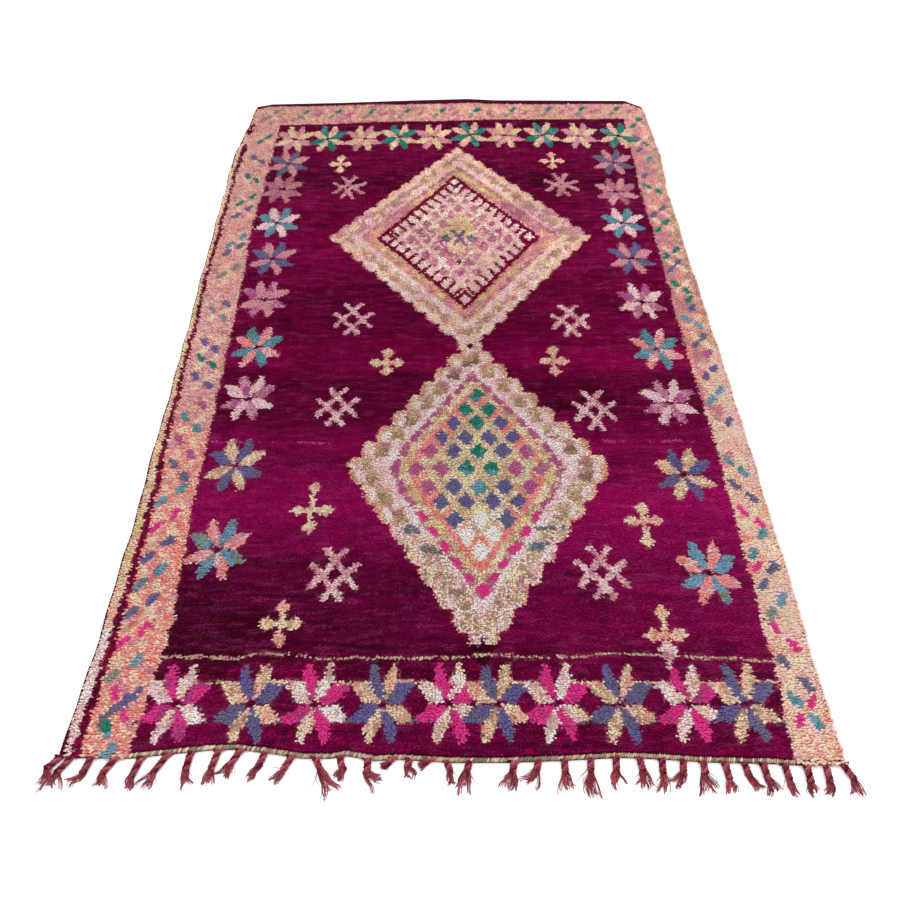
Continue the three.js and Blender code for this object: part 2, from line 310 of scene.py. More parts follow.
# One weft row was tied in paler wool on both sides of the lower lozenge, with gaps
PALE_ROW, PALE_ROW_HALF, PALE_ROW_RUNS = 930, 4, ((-690, -345), (380, 700))
PALE_ROW_BEND, PALE_ROW_GRAIN, PALE_ROW_GAPS, GAP_BELOW = 5, (90, 1, 24), (25, 50, 25), -0.4


def between(table, place, column=1):
    """Reads a column of a table of rows at places between them."""
    table = np.array(table, float)
    return np.interp(place, table[:, 0], table[:, column])


def dye_field(chart):
    x, y = chart.x, chart.y
    to_right = np.clip((x - ABRASH_FROM) / ABRASH_REACH, 0, 1)
    bent = y + BAND_BEND * soft_noise(x, y, BAND_GRAIN)
    bright = between(ABRASH, bent, 1) * (1 - to_right) + between(ABRASH, bent, 2) * to_right
    for depth, grain in CLOUDS:
        bright = bright + depth * soft_noise(x, y, grain)
    bright = np.clip(bright, 0, BRIGHTEST)[:, None]
    far_batch = np.clip((y - BATCH_FROM) / BATCH_REACH, 0, 1)[:, None]
    light = DYES["field bright"] * (1 - far_batch) + DYES["field rose"] * far_batch
    chart.colour[:] = DYES["field dark"] * (1 - bright) + light * bright
    haze = HAZE * np.clip(soft_noise(x, y, HAZE_GRAIN) - HAZE_START, 0, 1)[:, None]
    chart.colour[:] = chart.colour * (1 - haze) + DYES["rose line"] * haze
    off_row = abs(y - PALE_ROW - PALE_ROW_BEND * soft_noise(x, 0 * x, PALE_ROW_GRAIN))
    tied = (off_row < PALE_ROW_HALF) & (soft_noise(x, y, PALE_ROW_GAPS) > GAP_BELOW)
    for start, end in PALE_ROW_RUNS:
        chart.tie(tied & (x > start) & (x < end), "rose line", "field bright")


# %% [markdown]
# The border is a band of mottled pink, peach and cream with short slanting dashes in pairs. The left side
# has a pale guard outside it and a maroon stripe with saw-tooth edges between the two. The colours turn
# from salmon and cream near the viewer to a muted rose at the far end, so each band has two lists of
# dyes and slides from one to the other. Patches of noise that slant across the band pick the dye.

# %% The mottled bands
# The near dyes, the far dyes, where the far ones begin, and a seed
LEFT_BAND = (("salmon", "apricot", "salmon", "coral", "cream", "salmon", "pink"),
             ("rose tan", "peach", "pink", "apricot", "pink"), 1000, 31)
RIGHT_BAND = (("apricot", "peach", "pale pink", "apricot", "cream", "peach", "salmon"),
              ("rose tan", "rose tan", "pink", "salmon", "beige"), 1100, 33)
OUTER_RIGHT_BAND = (("cream", "apricot", "pale pink", "apricot", "peach"), ("peach", "beige", "rose tan"),
                    1300, 37)
# The far band has the far dyes alone
FAR_BAND = ((), ("rose tan", "pink", "peach", "beige", "apricot"), 0, 39)
# Where the outer part of the right band begins, across and along, and how that line bends
OUTER_RIGHT_FROM, OUTER_RIGHT_BEND, OUTER_RIGHT_GRAIN = (812, 150), 10, (40, 60, 36)
MOTTLE_SIZE = (17, 24)
MOTTLE_SLANT = (50, 45)
MOTTLE_DEPTH = 1.15
MOTTLE_STRAY = 0.17
TURN_BEND = 260
TURN_SIZE = (50, 80)


def mottle(chart, mask, near_dyes, far_dyes, turning, seed):
    """Ties a band in patches that slant, in the near dyes first and the far ones past the turning."""
    which = np.flatnonzero(mask)
    x, y = chart.x[which], chart.y[which]
    patch = soft_noise(x / MOTTLE_SIZE[0] + y / MOTTLE_SLANT[1],
                       y / MOTTLE_SIZE[1] - x / MOTTLE_SLANT[0], (1, 1, seed)) * MOTTLE_DEPTH
    patch = patch + MOTTLE_STRAY * chart.random.uniform(-1, 1, len(which))
    turned = y + TURN_BEND * soft_noise(x, y, (*TURN_SIZE, seed + 1)) > turning
    for dyes, side in ((near_dyes, ~turned), (far_dyes, turned)):
        picked = np.clip((patch * 0.5 + 0.5) * len(dyes), 0, len(dyes) - 1).astype(int)
        for number, dye in enumerate(dyes):
            chart.tie(which[side & (picked == number)], dye)


# %% [markdown]
# A dash is a short thick stroke. In a pair, one dash stands outside and one inside, and the two lean the
# same way. Pale pairs that lean the other way lie between them. The tables give each dash's place along
# the rug one by one, because a weaver places them by eye.

# %% The dashes
DASH_HALF = (6, 10)
DASH_WIDTH = 20
PINK_DASH_WIDTH = 16
PALE_DASH_SHIFT = 4
DASH_DYES = {"indigo": ("indigo", "indigo", "grey blue"), "teal": ("teal", "sky"),
             "sky": ("sky", "grey green")}
# Place along the rug, then where the outer and the inner column are
LEFT_COLUMNS = ((0, -782, -738), (900, -781, -738), (1500, -792, -750), (2200, -806, -765),
                (2800, -788, -760))
RIGHT_COLUMNS = ((0, 821, 784), (1200, 824, 789), (1500, 813, 781), (2000, 808, 768), (2800, 817, 785))
# Each row is the dash's place along the rug at the outer and the inner column, and its dye
LEFT_DASHES = ((203, 240, "sky"), (290, 325, "hot pink"), (372, 409, "indigo"), (450, 494, "teal"),
               (531, 581, "indigo"), (622, 672, "hot pink"), (712, 759, "teal"), (847, 803, "indigo"),
               (934, 884, "mauve"), (1028, 984, "teal"), (None, 1078, "mauve"), (1200, 1162, "indigo"),
               (1287, 1250, "green"), (1360, 1325, "indigo"), (1520, 1480, "grey green"),
               (None, 1550, "grey blue"), (1706, 1753, "grey green"), (1837, 1878, "grey blue"),
               (1880, 1934, "teal"), (2070, 2116, "indigo"), (2150, 2197, "green"), (2340, 2310, "green"),
               (2480, 2450, "grey blue"), (2609, 2650, "green"), (2810, 2860, "grey green"))
RIGHT_DASHES = ((138, 96, "hot pink"), (92, 146, "teal"), (184, 240, "grey blue"), (280, 330, "hot pink"),
                (406, 366, "sky"), (500, 450, "grey blue"), (None, 503, "hot pink"), (606, 544, "teal"),
                (640, 680, "hot pink"), (728, 775, "grey blue"), (819, 862, "teal"), (1009, None, "indigo"),
                (1140, 1100, "teal"), (1238, 1200, "indigo"), (1306, None, "mauve"),
                (1384, 1344, "grey blue"), (1440, 1475, "teal"), (1530, None, "indigo"),
                (1575, None, "green"), (1620, 1660, "green"), (1780, 1740, "indigo"), (1853, 1816, "green"),
                (2028, 1980, "green"), (2116, 2075, "grey blue"), (2234, 2272, "green"),
                (None, 2344, "grey blue"), (2472, None, "teal"), (None, 2544, "grey blue"),
                (2590, 2640, "grey blue"), (2794, 2741, "green"))
# Three dashes are tied at each of these places of the far border, which rises by so much over a length
FAR_PLACES = (-637, -500, -353, -198, -48, 105, 263, 422, 566, 719)
FAR_DASHES = ((-15, 2826, "grey green"), (12, 2874, "green"), (66, 2850, "dusty mauve"))
FAR_RISE, FAR_RISE_LENGTH = 18, 800
# Centre, which way it leans, and dye
CORNER_DASHES = (((-745, 25), 1, "sky"), ((-765, 72), -1, "teal"), ((-770, 82), -1, "green"),
                 ((-770, 112), 1, "indigo"), ((-740, 142), 1, "indigo"), ((-722, 160), 1, "indigo"),
                 ((-735, 108), -1, "hot pink"), ((-768, 158), -1, "hot pink"))


def slanting_dash(chart, centre, leaning, dye):
    run = np.array([DASH_HALF[0], DASH_HALF[1] * leaning])
    centre = np.array(centre, float)
    width = PINK_DASH_WIDTH if dye == "hot pink" else DASH_WIDTH
    chart.stroke(centre - run, centre + run, width, *DASH_DYES.get(dye, (dye,)))


def dash_pairs(chart, columns, dashes, outward):
    """Pairs of dashes in their dyes, and between them pale pairs that slant the other way."""
    for outer, inner, _ in dashes:
        if outer and inner:
            # The two pale dyes change from pair to pair without a plan
            pale = "cream" if (outer + inner) % 4 < 2 else "apricot"
            for place, column in ((outer, 2), (inner, 1)):
                centre = between(columns, place, column) + PALE_DASH_SHIFT, place + PALE_DASH_SHIFT * outward
                slanting_dash(chart, centre, -outward * np.sign(outer - inner), pale)
    for outer, inner, dye in dashes:
        lower = min(place for place in (outer, inner) if place is not None)
        leaning = outward if outer is None or inner is None else outward * np.sign(outer - inner)
        for place, column in ((outer, 1), (inner, 2)):
            if place is not None:
                slanting_dash(chart, (between(columns, lower, column), place), leaning, dye)


# %% [markdown]
# The whole border is tied in the order that lets each layer cover the last: the mottled bands, the dashes,
# then the guard and its stripe, and at the very edge a few rows in the dark dye of the web.

# %% The border
# Place along the rug, then the widths of the guard and of the stripe inside it
GUARD = ((0, 31, 18), (800, 31, 18), (1000, 22, 14), (1200, 22, 14), (1500, 17, 13), (1900, 17, 13),
         (2150, 22, 13), (2350, 22, 13), (2450, 24, 18), (2575, 26, 18), (2590, 26, 0), (2655, 26, 0),
         (2670, 14, 18), (2740, 14, 18), (2757, 14, 0), (3000, 14, 0))
GUARD_END = 2900
BRIGHT_GUARD_END = 330
SAW_TOOTH, SAW_PITCH = 3, 22
NO_STRIPE = 2
# The left side's dark edge, what the near corner adds to it, and how wide it is past a place far along
DARK_EDGE, DARK_CORNER, DARK_CORNER_LENGTH = 2, 18, 110
FAR_DARK_EDGE, FAR_DARK_EDGE_FROM = 9, 2400
# How deep the last rows in the web's dye are, at places across
DARK_END = ((-850, 10), (-350, 13), (-100, 24), (150, 23), (800, 17))


def dye_border(chart):
    x, y = chart.x, chart.y
    in_left = x < between(FIELD_LEFT, y)
    in_right = x > between(FIELD_RIGHT, y)
    in_far = y > between(FIELD_FAR, x)
    outer_right = in_right & (y > OUTER_RIGHT_FROM[1])
    outer_right &= x > OUTER_RIGHT_FROM[0] + OUTER_RIGHT_BEND * soft_noise(x, y, OUTER_RIGHT_GRAIN)
    for mask, band in ((in_left, LEFT_BAND), (in_right, RIGHT_BAND), (outer_right, OUTER_RIGHT_BAND),
                       (in_far, FAR_BAND)):
        mottle(chart, mask, *band)
    dash_pairs(chart, LEFT_COLUMNS, LEFT_DASHES, -1)
    dash_pairs(chart, RIGHT_COLUMNS, RIGHT_DASHES, 1)
    for place in FAR_PLACES:
        for aside, along, dye in FAR_DASHES:
            slanting_dash(chart, (place + aside, along + FAR_RISE * place / FAR_RISE_LENGTH), 1, dye)
    for dash in CORNER_DASHES:
        slanting_dash(chart, *dash)

    from_edge = x - left_edge(y)
    guard, stripe = between(GUARD, y, 1), between(GUARD, y, 2)
    saw = SAW_TOOTH * abs((y / SAW_PITCH) % 2 - 1)
    pale = in_left & (from_edge < guard) & (y < GUARD_END)
    chart.tie(pale, "cream", "peach", "cream", "straw")
    chart.tie(pale & (y < BRIGHT_GUARD_END), "ivory", "pale pink", "cream")
    chart.tie(in_left & (from_edge > guard - saw) & (from_edge < guard + stripe + saw - SAW_TOOTH)
              & (stripe > NO_STRIPE), "wine", "maroon", "wine")
    corner = DARK_CORNER * np.clip(1 - y / DARK_CORNER_LENGTH, 0, 1)
    chart.tie(in_left & (from_edge < DARK_EDGE + corner), "maroon")
    chart.tie(in_left & (y > FAR_DARK_EDGE_FROM) & (from_edge < FAR_DARK_EDGE), "maroon")
    chart.tie(in_far & (y > far_edge(x) - WEB_DEPTH - between(DARK_END, x)), "maroon", "field dark")


# %% [markdown]
# Eight-petalled stars line the field on all four sides. A petal is a kite from the star's centre to a tip,
# between two notches. The tips come in pairs, two to each side, and the petals take two dyes in turn. Some
# of the wool was carded from several fleeces, so a petal's dye may stand for a short list of them.

# %% One star
# The petals of the right half, from the top one round, as shares of half the star's width and height
PETALS = (((0.0, 0.06), (0.02, 0.5), (0.24, 0.98), (0.4, 1.0), (0.48, 0.62), (0.42, 0.44), (0.12, 0.1)),
          ((0.08, 0.03), (0.42, 0.44), (0.62, 0.56), (0.94, 0.54), (0.98, 0.42), (0.58, 0.0)),
          ((0.08, -0.03), (0.58, -0.02), (0.98, -0.34), (0.96, -0.46), (0.46, -0.46), (0.12, -0.12)),
          ((0.0, -0.06), (0.12, -0.12), (0.42, -0.42), (0.5, -0.68), (0.44, -0.9), (0.3, -0.94),
           (0.0, -0.46)))
STAR_EYE = (8, 10)
PETAL_DYES = {"cream": ("cream", "beige", "cream", "peach"), "ivory": ("ivory", "pale pink", "cream"),
              "hot pink": ("hot pink", "hot pink", "hot pink", "rose line"),
              "indigo": ("indigo", "grey blue", "indigo"),
              "salmon": ("salmon", "pink", "pale pink", "salmon"), "sky": ("sky", "sky", "grey green"),
              "green": ("green", "green", "teal"), "teal": ("teal", "sky", "teal"),
              "mauve": ("mauve", "lilac", "dusty mauve"), "straw": ("straw", "cream", "straw")}


def star(chart, centre, half, first, second):
    """A star whose petal at the top right is in the first dye."""
    centre, half = np.array(centre, float), np.array(half, float)
    for side, dyes in ((1, (first, second)), (-1, (second, first))):
        for number, petal in enumerate(PETALS):
            dye = dyes[number % 2]
            chart.polygon(centre + half * np.array(petal) * (side, 1), *PETAL_DYES.get(dye, (dye,)))
    chart.lozenge(centre, STAR_EYE, "maroon")


# %% [markdown]
# The near row has two thin bars behind each star, and fine streaks in its ground. The far row has one bar.
# Both rows change between two pairs of dyes, and the last star of the far row has its dyes the other way
# round. The stars of the two side rows have their dyes one by one.

# %% The rows of stars
NEAR_ROW_ALONG = 135
NEAR_ROW = [(across, NEAR_ROW_ALONG) for across in (
    -623, -454, -304, -154, -1, 107, 245, 389, 544, 670)]
FAR_ROW = ((-651, 2625), (-511, 2632), (-361, 2634), (-214, 2645), (-70, 2644), (83, 2665), (230, 2662),
           (389, 2662), (546, 2655))
FAR_LAST = ((708, 2655),)
NEAR_HALF, FAR_HALF, SIDE_HALF = (75, 99), (77, 106), (80, 98)
# Each bar's height, start and end from the star's middle, its width and its dyes
NEAR_BARS = ((52, -110, 80, 7, "cream", "beige"), (-43, -80, 80, 6, "grey blue", "maroon"))
FAR_BARS = ((-38, -80, 70, 8, "pink", "pale pink"),)
# The streaks' grain, how rare they are, how far along they go, and their middle and reach across
STREAKS, STREAK_RARITY, STREAK_END, STREAK_MIDDLE, STREAK_HALF = (22, 4, 28), 0.42, 235, 30, 700
SIDE_STARS = ((-604, 556, "sky", "salmon"), (-604, 841, "indigo", "cream"),
              (-610, 1106, "pale pink", "mauve"), (-617, 1334, "salmon", "teal"),
              (-629, 1575, "mauve", "pink"), (-632, 1800, "indigo", "pink"),
              (-642, 2022, "teal", "pale pink"), (-655, 2247, "dusty mauve", "rose tan"),
              (-652, 2434, "grey blue", "pink"),
              (658, 484, "salmon", "sky"), (655, 806, "cream", "indigo"), (661, 1088, "pale pink", "mauve"),
              (658, 1325, "salmon", "teal"), (646, 1562, "mauve", "pale pink"), (646, 1803, "indigo", "pink"),
              (646, 2019, "teal", "pale pink"), (649, 2230, "pink", "dusty mauve"),
              (661, 2447, "grey blue", "pink"))


def star_row(chart, row, half, bars, *pairs):
    """Stars in two or more pairs of dyes by turns, each over the bars behind it."""
    for number, (across, along) in enumerate(row):
        for up, start, end, width, *dyes in bars:
            chart.stroke((across + start, along + up), (across + end, along + up), width, *dyes)
        star(chart, (across, along), half, *pairs[number % len(pairs)])


def dye_stars(chart):
    streaks = (soft_noise(chart.x, chart.y, STREAKS) > STREAK_RARITY) & (chart.y < STREAK_END)
    chart.tie(streaks & (abs(chart.x - STREAK_MIDDLE) < STREAK_HALF), "field rose", "wine", share=0.7)
    star_row(chart, NEAR_ROW, NEAR_HALF, NEAR_BARS, ("ivory", "hot pink"), ("cream", "indigo"))
    star_row(chart, FAR_ROW, FAR_HALF, FAR_BARS, ("pink", "straw"), ("cream", "green"))
    star_row(chart, FAR_LAST, FAR_HALF, FAR_BARS, ("green", "cream"))
    for across, along, *pair in SIDE_STARS:
        star(chart, (across, along), SIDE_HALF, *pair)


# %% [markdown]
# Two small figures fill the open field. One is a cross with four pointed heads on thin arms. The other is
# two pairs of slanting lines that cross, which leaves an open lozenge in the middle and a fork at each end.

# %% The small crosses
# Centre, then the reach upwards, downwards and to either side
CROSSES = ((-373, 684, 97, 78, 56), (-411, 338, 64, 60, 52), (518, 650, 60, 84, 50),
           (518, 309, 80, 50, 50), (-198, 1262, 66, 56, 50), (327, 1272, 66, 66, 44),
           (-442, 2431, 66, 62, 46), (414, 2456, 68, 60, 50))
# How far back from the end of an arm its head is widest and where it starts, and its half widths there
HEAD_POINT, HEAD_WIDEST, HEAD_START = 4, 17, 42
HEAD_HALF, HEAD_START_HALF, EYE_HALF = 20, 5, 6
ARM_WIDTH = 14
# Centre, the lines' width, and how open the eye is
HASHES = ((-295, 481, 18, 1.0), (386, 488, 18, 1.0), (-323, 1472, 15, 1.0), (-339, 1072, 16, 1.0),
          (396, 1466, 16, 1.0), (430, 1056, 17, 1.0), (-398, 2262, 16, 0.62), (438, 2281, 19, 0.62))
HASH_EYE = (30, 40)
RING = ((0, 1), (1, 0), (0, -1), (-1, 0), (0, 1))
HASH_FORKS = ((0, 1, -24, 74), (0, 1, 24, 74), (1, 0, 60, 28), (1, 0, 58, -38),
              (0, -1, 20, -74), (0, -1, -20, -73), (-1, 0, -54, -38), (-1, 0, -58, 28))
# One cross has a foot with a short tail
CROSS_FOOT = ((520, 270), (24, 26), "cream", "pale pink")
CROSS_TAIL = ((515, 262), (512, 225), 11, "pale pink", "pink")
# The far figures are tied in duller wool
FAR_HASHES_FROM = 2000
NEAR_HASH_DYES, FAR_HASH_DYES = ("pale pink", "pink", "pale pink"), ("lilac", "pink", "rose tan")


def cross(chart, across, along, up, down, aside, *dyes):
    centre = np.array([across, along])
    for reach, facing in ((up, (0, 1)), (down, (0, -1)), (aside, (-1, 0)), (aside, (1, 0))):
        facing = np.array(facing)
        sideways = facing[::-1]
        widest = centre + facing * (reach - HEAD_WIDEST)
        start = centre + facing * max(reach - HEAD_START, EYE_HALF)
        chart.polygon([centre + facing * (reach + HEAD_POINT), widest + sideways * HEAD_HALF,
                       start + sideways * HEAD_START_HALF, start - sideways * HEAD_START_HALF,
                       widest - sideways * HEAD_HALF], *dyes)
        chart.stroke(centre, widest, ARM_WIDTH, *dyes)


def hash_cross(chart, across, along, width, openness, *dyes):
    eye = np.array(HASH_EYE) * openness
    centre = np.array([across, along], float)
    chart.line([centre + eye * np.array(corner) for corner in RING], width, *dyes)
    for side, height, end_x, end_y in HASH_FORKS:
        chart.stroke(centre + eye * np.array([side, height]), centre + np.array([end_x, end_y]), width, *dyes)


def dye_crosses(chart):
    for row in CROSSES:
        cross(chart, *row, "cream", "cream", "peach")
    chart.lozenge(*CROSS_FOOT)
    chart.stroke(*CROSS_TAIL)
    for row in HASHES:
        hash_cross(chart, *row, *(NEAR_HASH_DYES if row[1] < FAR_HASHES_FROM else FAR_HASH_DYES))


# %% [markdown]
# The two lozenges are built in bands from their edge inwards: a stepped chain of beige blocks round pale
# wedges, a pale band, a row of dashes, a yellowish band, and a line that holds the middle. A knot's depth
# inside the nearest side picks its band. In the chain, its place along the rug picks the step, and how far
# inwards it lies in that step's rows picks the rim, the wedge or the block. At the lower lozenge's two side
# corners the weaver drew the inner bands in, and a pinch of the depths does the same.

# %% The lozenge bands
LOWER_CORNERS = ((65, 1368), (448, 834), (79, 245), (-290, 832))
UPPER_CORNERS = ((30, 2556), (508, 1938), (60, 1322), (-434, 1930))
# Depths at which the pale band, the dashes, the yellowish band and the line end
PALE_BAND, DASH_BAND, INNER_BAND, LINE_BAND = 83, 103, 124, 139
OUTERMOST, CHAIN_MARGIN = -26, 20
PINCH_REACH = 60
DASH_PERIOD, DASH_REACH, DASH_TAPER, DASH_CORE = 58, 25, 0.3, 15
# A step stands out by so much, and its nose is round
STEP_OUT, NOSE_ROUND, NOSE_HALF, RIM_WIDTH = 8, 12, 32, 5
CHAIN_END, TAN_END = 77, 52
BLOCK_MIDDLE, BLOCK_HALF = 51, (21, 30)
WEDGE_MIDDLE, WEDGE_HALF = 22, (11, 20)
# How far up from its step's middle a wedge is, for each side in turn
WEDGE_UP = (-12, 3, 3, -12)
SHADE_TOP, SHADE_BEND, SHADE_GRAIN = 4, 10, (9, 20, 26)


def side_depths(x, y, corners):
    """How deep places lie inside the nearest side of a lozenge, how far along it, and which side it is."""
    depths, runs = [], []
    for (ax, ay), (bx, by) in zip(corners, corners[1:] + corners[:1]):
        length = math.hypot(bx - ax, by - ay)
        ux, uy = (bx - ax) / length, (by - ay) / length
        depths.append((x - ax) * uy - (y - ay) * ux)
        runs.append((x - ax) * ux + (y - ay) * uy)
    side = np.argmin(depths, axis=0)
    column = np.arange(len(side))
    return np.array(depths)[side, column], np.array(runs)[side, column], side


def lozenge_steps(x, y, corners, side, rows):
    """How far inwards a knot lies in its step of the chain, and how far up from the step's middle."""
    starts = np.array(corners, float)
    runs = np.roll(starts, -1, axis=0) - starts
    first, tall, bite = np.array(rows, float)[side].T
    middle = first + np.round((y - first) / tall) * tall
    bend = middle * bite + y * (1 - bite)
    line = starts[side, 0] + (bend - starts[side, 1]) * runs[side, 0] / runs[side, 1]
    return (x - line) * np.where(side < 2, -1, 1), y - middle


def knots_round(chart, corners, margin):
    """The knots in the box round some corners, and their places."""
    near = chart.close_to(np.array(corners).min(0) - margin, np.array(corners).max(0) + margin)
    return near, chart.x[near], chart.y[near]


def lozenge_bands(chart, corners, palette, rows, share, pinch=0.0):
    """Ties the bands of one lozenge. Returns its knots, with what the further rules need to know of them."""
    near, x, y = knots_round(chart, corners, CHAIN_MARGIN)
    depth, run, side = side_depths(x, y, corners)
    inwards, up = lozenge_steps(x, y, corners, side, rows)
    edge = NOSE_ROUND * (up / NOSE_HALF) ** 4 - STEP_OUT
    inside = (inwards > edge) & (depth > OUTERMOST)
    steps = inside & (depth < CHAIN_END) & (inwards > edge + RIM_WIDTH)
    from_block = (abs(inwards - BLOCK_MIDDLE) / BLOCK_HALF[0]) ** 4 + (abs(up) / BLOCK_HALF[1]) ** 4
    blocks = steps & (from_block < 1)
    shaded = blocks & (up < SHADE_TOP + SHADE_BEND * soft_noise(x, y, SHADE_GRAIN))
    wedges = steps & (abs(inwards - WEDGE_MIDDLE) < WEDGE_HALF[0])
    wedges &= abs(up - np.array(WEDGE_UP)[side]) < WEDGE_HALF[1]
    depth = depth - pinch * np.exp(-((y - corners[1][1]) / PINCH_REACH) ** 2)
    dashed = (depth > PALE_BAND) & (depth < DASH_BAND)
    from_dash = abs((run / DASH_PERIOD) % 1 - 0.5) * DASH_PERIOD
    dashes = dashed & (from_dash < DASH_REACH - (depth - PALE_BAND) * DASH_TAPER)
    for mask, dyes, part in ((inside, "pale", 1), (steps & (inwards < TAN_END), "tan", 0.9),
                             (blocks, "block", share), (shaded, "shade", share), (wedges, "pale", 0.9),
                             (inside & (inwards < edge + RIM_WIDTH), "rim", 1), (dashed, "inner", 1),
                             (dashes, "dash", share + 0.1),
                             ((depth > DASH_BAND) & (depth < INNER_BAND), "inner", 1),
                             (depth > INNER_BAND, "middle", 1),
                             ((depth > INNER_BAND) & (depth < LINE_BAND), "line", 0.95)):
        chart.tie(near[mask], *palette[dyes], share=part)
    return near, depth, dashed & (from_dash < DASH_CORE), steps, blocks, up


# %% [markdown]
# The lower lozenge holds a lattice of small diamonds, tied row by row in green, indigo, mauve and teal. Its
# lower third was woven with greyer, greener wool, and its dashes are hot pink there.

# %% The lower lozenge
SMALL_DIAMOND = (25, 33)
LATTICE_MIDDLE = 80
LATTICE_PITCH = 70
LATTICE_ROWS = ((1119, "green"), (1059, "green", "green"), (1006, "indigo", "green", "indigo"),
                (947, "indigo", "indigo", "indigo", "indigo"),
                (894, "mauve", "indigo", "green", "indigo", "mauve"),
                (830, "mauve", "mauve", "green", "green", "mauve", "mauve"),
                (765, "mauve", "indigo", "teal", "indigo", "mauve"),
                (714, "indigo", "indigo", "indigo", "indigo"), (653, "indigo", "ivory", "indigo"),
                (606, "ivory", "ivory"), (553, "ivory"))
LATTICE_DYES = {"green": ("green", "teal", "green"), "indigo": ("indigo", "grey blue", "indigo"),
                "mauve": ("mauve", "dusty mauve"), "teal": ("teal", "sky"), "ivory": ("ivory",)}
# A coral tooth leaves the end diamond of each row in this range, and points away from the widest row
TOOTH, TOOTH_WIDTH, TOOTH_ROWS, WIDEST_ROW = ((-8, 52), (-29, 18)), 14, (560, 1100), 830
# For each side in turn: the middle of one step along the rug, how tall the steps are, and how boxy
LOWER_ROWS = ((1163, 62.5, 0.75), (746, 66, 0.5), (670, 65, 0.45), (1025, 62, 0.75))
LOWER_DYES = {"pale": ("pale pink", "ivory", "pale pink"), "rim": ("coral", "salmon", "peach"),
              "tan": ("beige", "apricot", "beige", "cream"), "block": ("beige", "beige", "rose tan"),
              "shade": ("olive", "beige", "olive", "umber"),
              "inner": ("cream", "beige", "straw"), "dash": ("mauve", "dusty mauve"),
              "line": ("salmon", "coral", "salmon"), "middle": ("beige", "cream", "hemp", "straw", "cream")}
LOWER_SHARE, LOWER_PINCH = 0.85, 18
# Where the chain turns grey, how that line bends, and where the blocks have a blue-grey top
GREY_END, GREY_BEND, GREY_GRAIN = 635, 8, (60, 60, 41)
GREY_PATCHES, GREY_SPECKS = (15, 24, 42), 0.07
BLUE_FROM, BLUE_UP = 545, 2
# Between these places the dashes are pink, and below the second one the middle is paler
PINK_DASHES = (462, 690)
# Centre, half the width and height, and dyes
LOWER_FIGURES = (((45, 815), (15, 14), "teal", "sky"), ((115, 815), (15, 14), "teal", "sky"),
                 ((84, 505), (26, 20), "coral", "coral", "cream"),
                 ((86, 435), (24, 20), "hot pink", "hot pink", "pale pink"))
# The field cuts into the lowest corner: below this place, and a little higher in a narrow slot
NOTCH_TOP, SLOT_TOP, SLOT_ACROSS, SLOT_HALF, NOTCH_DEPTH = 284, 302, 78, 7, -12


def dye_lattice(chart):
    for along, *row in LATTICE_ROWS:
        reach = LATTICE_PITCH * (len(row) - 1) / 2
        for number, dye in enumerate(row):
            across = LATTICE_MIDDLE + LATTICE_PITCH * (number - (len(row) - 1) / 2)
            chart.lozenge((across, along), SMALL_DIAMOND, *LATTICE_DYES[dye])
        if TOOTH_ROWS[0] < along < TOOTH_ROWS[1]:
            upright = 1 if along > WIDEST_ROW else -1
            for side in (-1, 1):
                end_diamond = np.array([LATTICE_MIDDLE + side * reach, along])
                ends = [end_diamond + np.array(end) * (side, upright) for end in TOOTH]
                chart.stroke(*ends, TOOTH_WIDTH, "coral", "salmon")


def dye_lower_lozenge(chart):
    bands = lozenge_bands(chart, LOWER_CORNERS, LOWER_DYES, LOWER_ROWS, LOWER_SHARE, LOWER_PINCH)
    near, depth, dash_middles, steps, blocks, up = bands
    x, y = chart.x[near], chart.y[near]
    grey = (y < GREY_END + GREY_BEND * soft_noise(x, y, GREY_GRAIN)) & steps
    patch = soft_noise(x, y, GREY_PATCHES)
    tinted = grey & (blocks | (patch > 0.3))
    chart.tie(near[grey & ~blocks], "pale pink", "ivory", "pale pink", "cream", share=0.85)
    chart.tie(near[tinted], "cream", "beige", "pale pink", "olive", "cream")
    chart.tie(near[grey & blocks & (patch > 0.1)], "hemp shade", "rose tan", "beige", "hemp", share=0.6)
    chart.tie(near[tinted & (up > BLUE_UP) & (y > BLUE_FROM)], "grey blue", "grey green", "grey blue",
              "hemp shade")
    specks = grey & (chart.random.random(len(near)) < GREY_SPECKS)
    chart.tie(near[specks], "hemp shade", "rose tan", "olive", "mauve", "hemp")
    chart.tie(near[(depth > LINE_BAND) & (y < PINK_DASHES[1])], "cream", "ivory", "straw", share=0.5)
    chart.tie(near[dash_middles & (y > PINK_DASHES[0]) & (y < PINK_DASHES[1])], "hot pink")
    dye_lattice(chart)
    for figure in LOWER_FIGURES:
        chart.lozenge(*figure)
    notch = (y < NOTCH_TOP) | ((abs(x - SLOT_ACROSS) < SLOT_HALF) & (y < SLOT_TOP))
    chart.tie(near[notch & (depth > NOTCH_DEPTH)], "field dark")


# %% [markdown]
# The upper lozenge is finer: a maroon line with a comb of teeth that point inwards, a small ringed diamond
# in each corner, and broken rings of mauve round a yellow heart with indigo specks.

# %% The upper lozenge
UPPER_ROWS = ((2200, 57, 0.45), (1880, 57, 0.4), (1700, 56, 0.4), (2320, 56, 0.45))
UPPER_DYES = {"pale": ("pale pink", "cream"), "rim": ("peach", "beige", "rose tan"),
              "tan": ("apricot", "cream", "peach", "cream"), "block": ("beige", "rose tan", "hemp"),
              "shade": ("olive", "beige", "rose tan"),
              "inner": ("peach", "beige", "straw"), "dash": ("dusty mauve", "rose tan"),
              "line": ("peach", "rose tan", "beige"), "middle": ("pale pink", "cream")}
UPPER_SHARE = 0.7
PALE_STEPS_END, PALE_BANDS_END = 1800, 1940
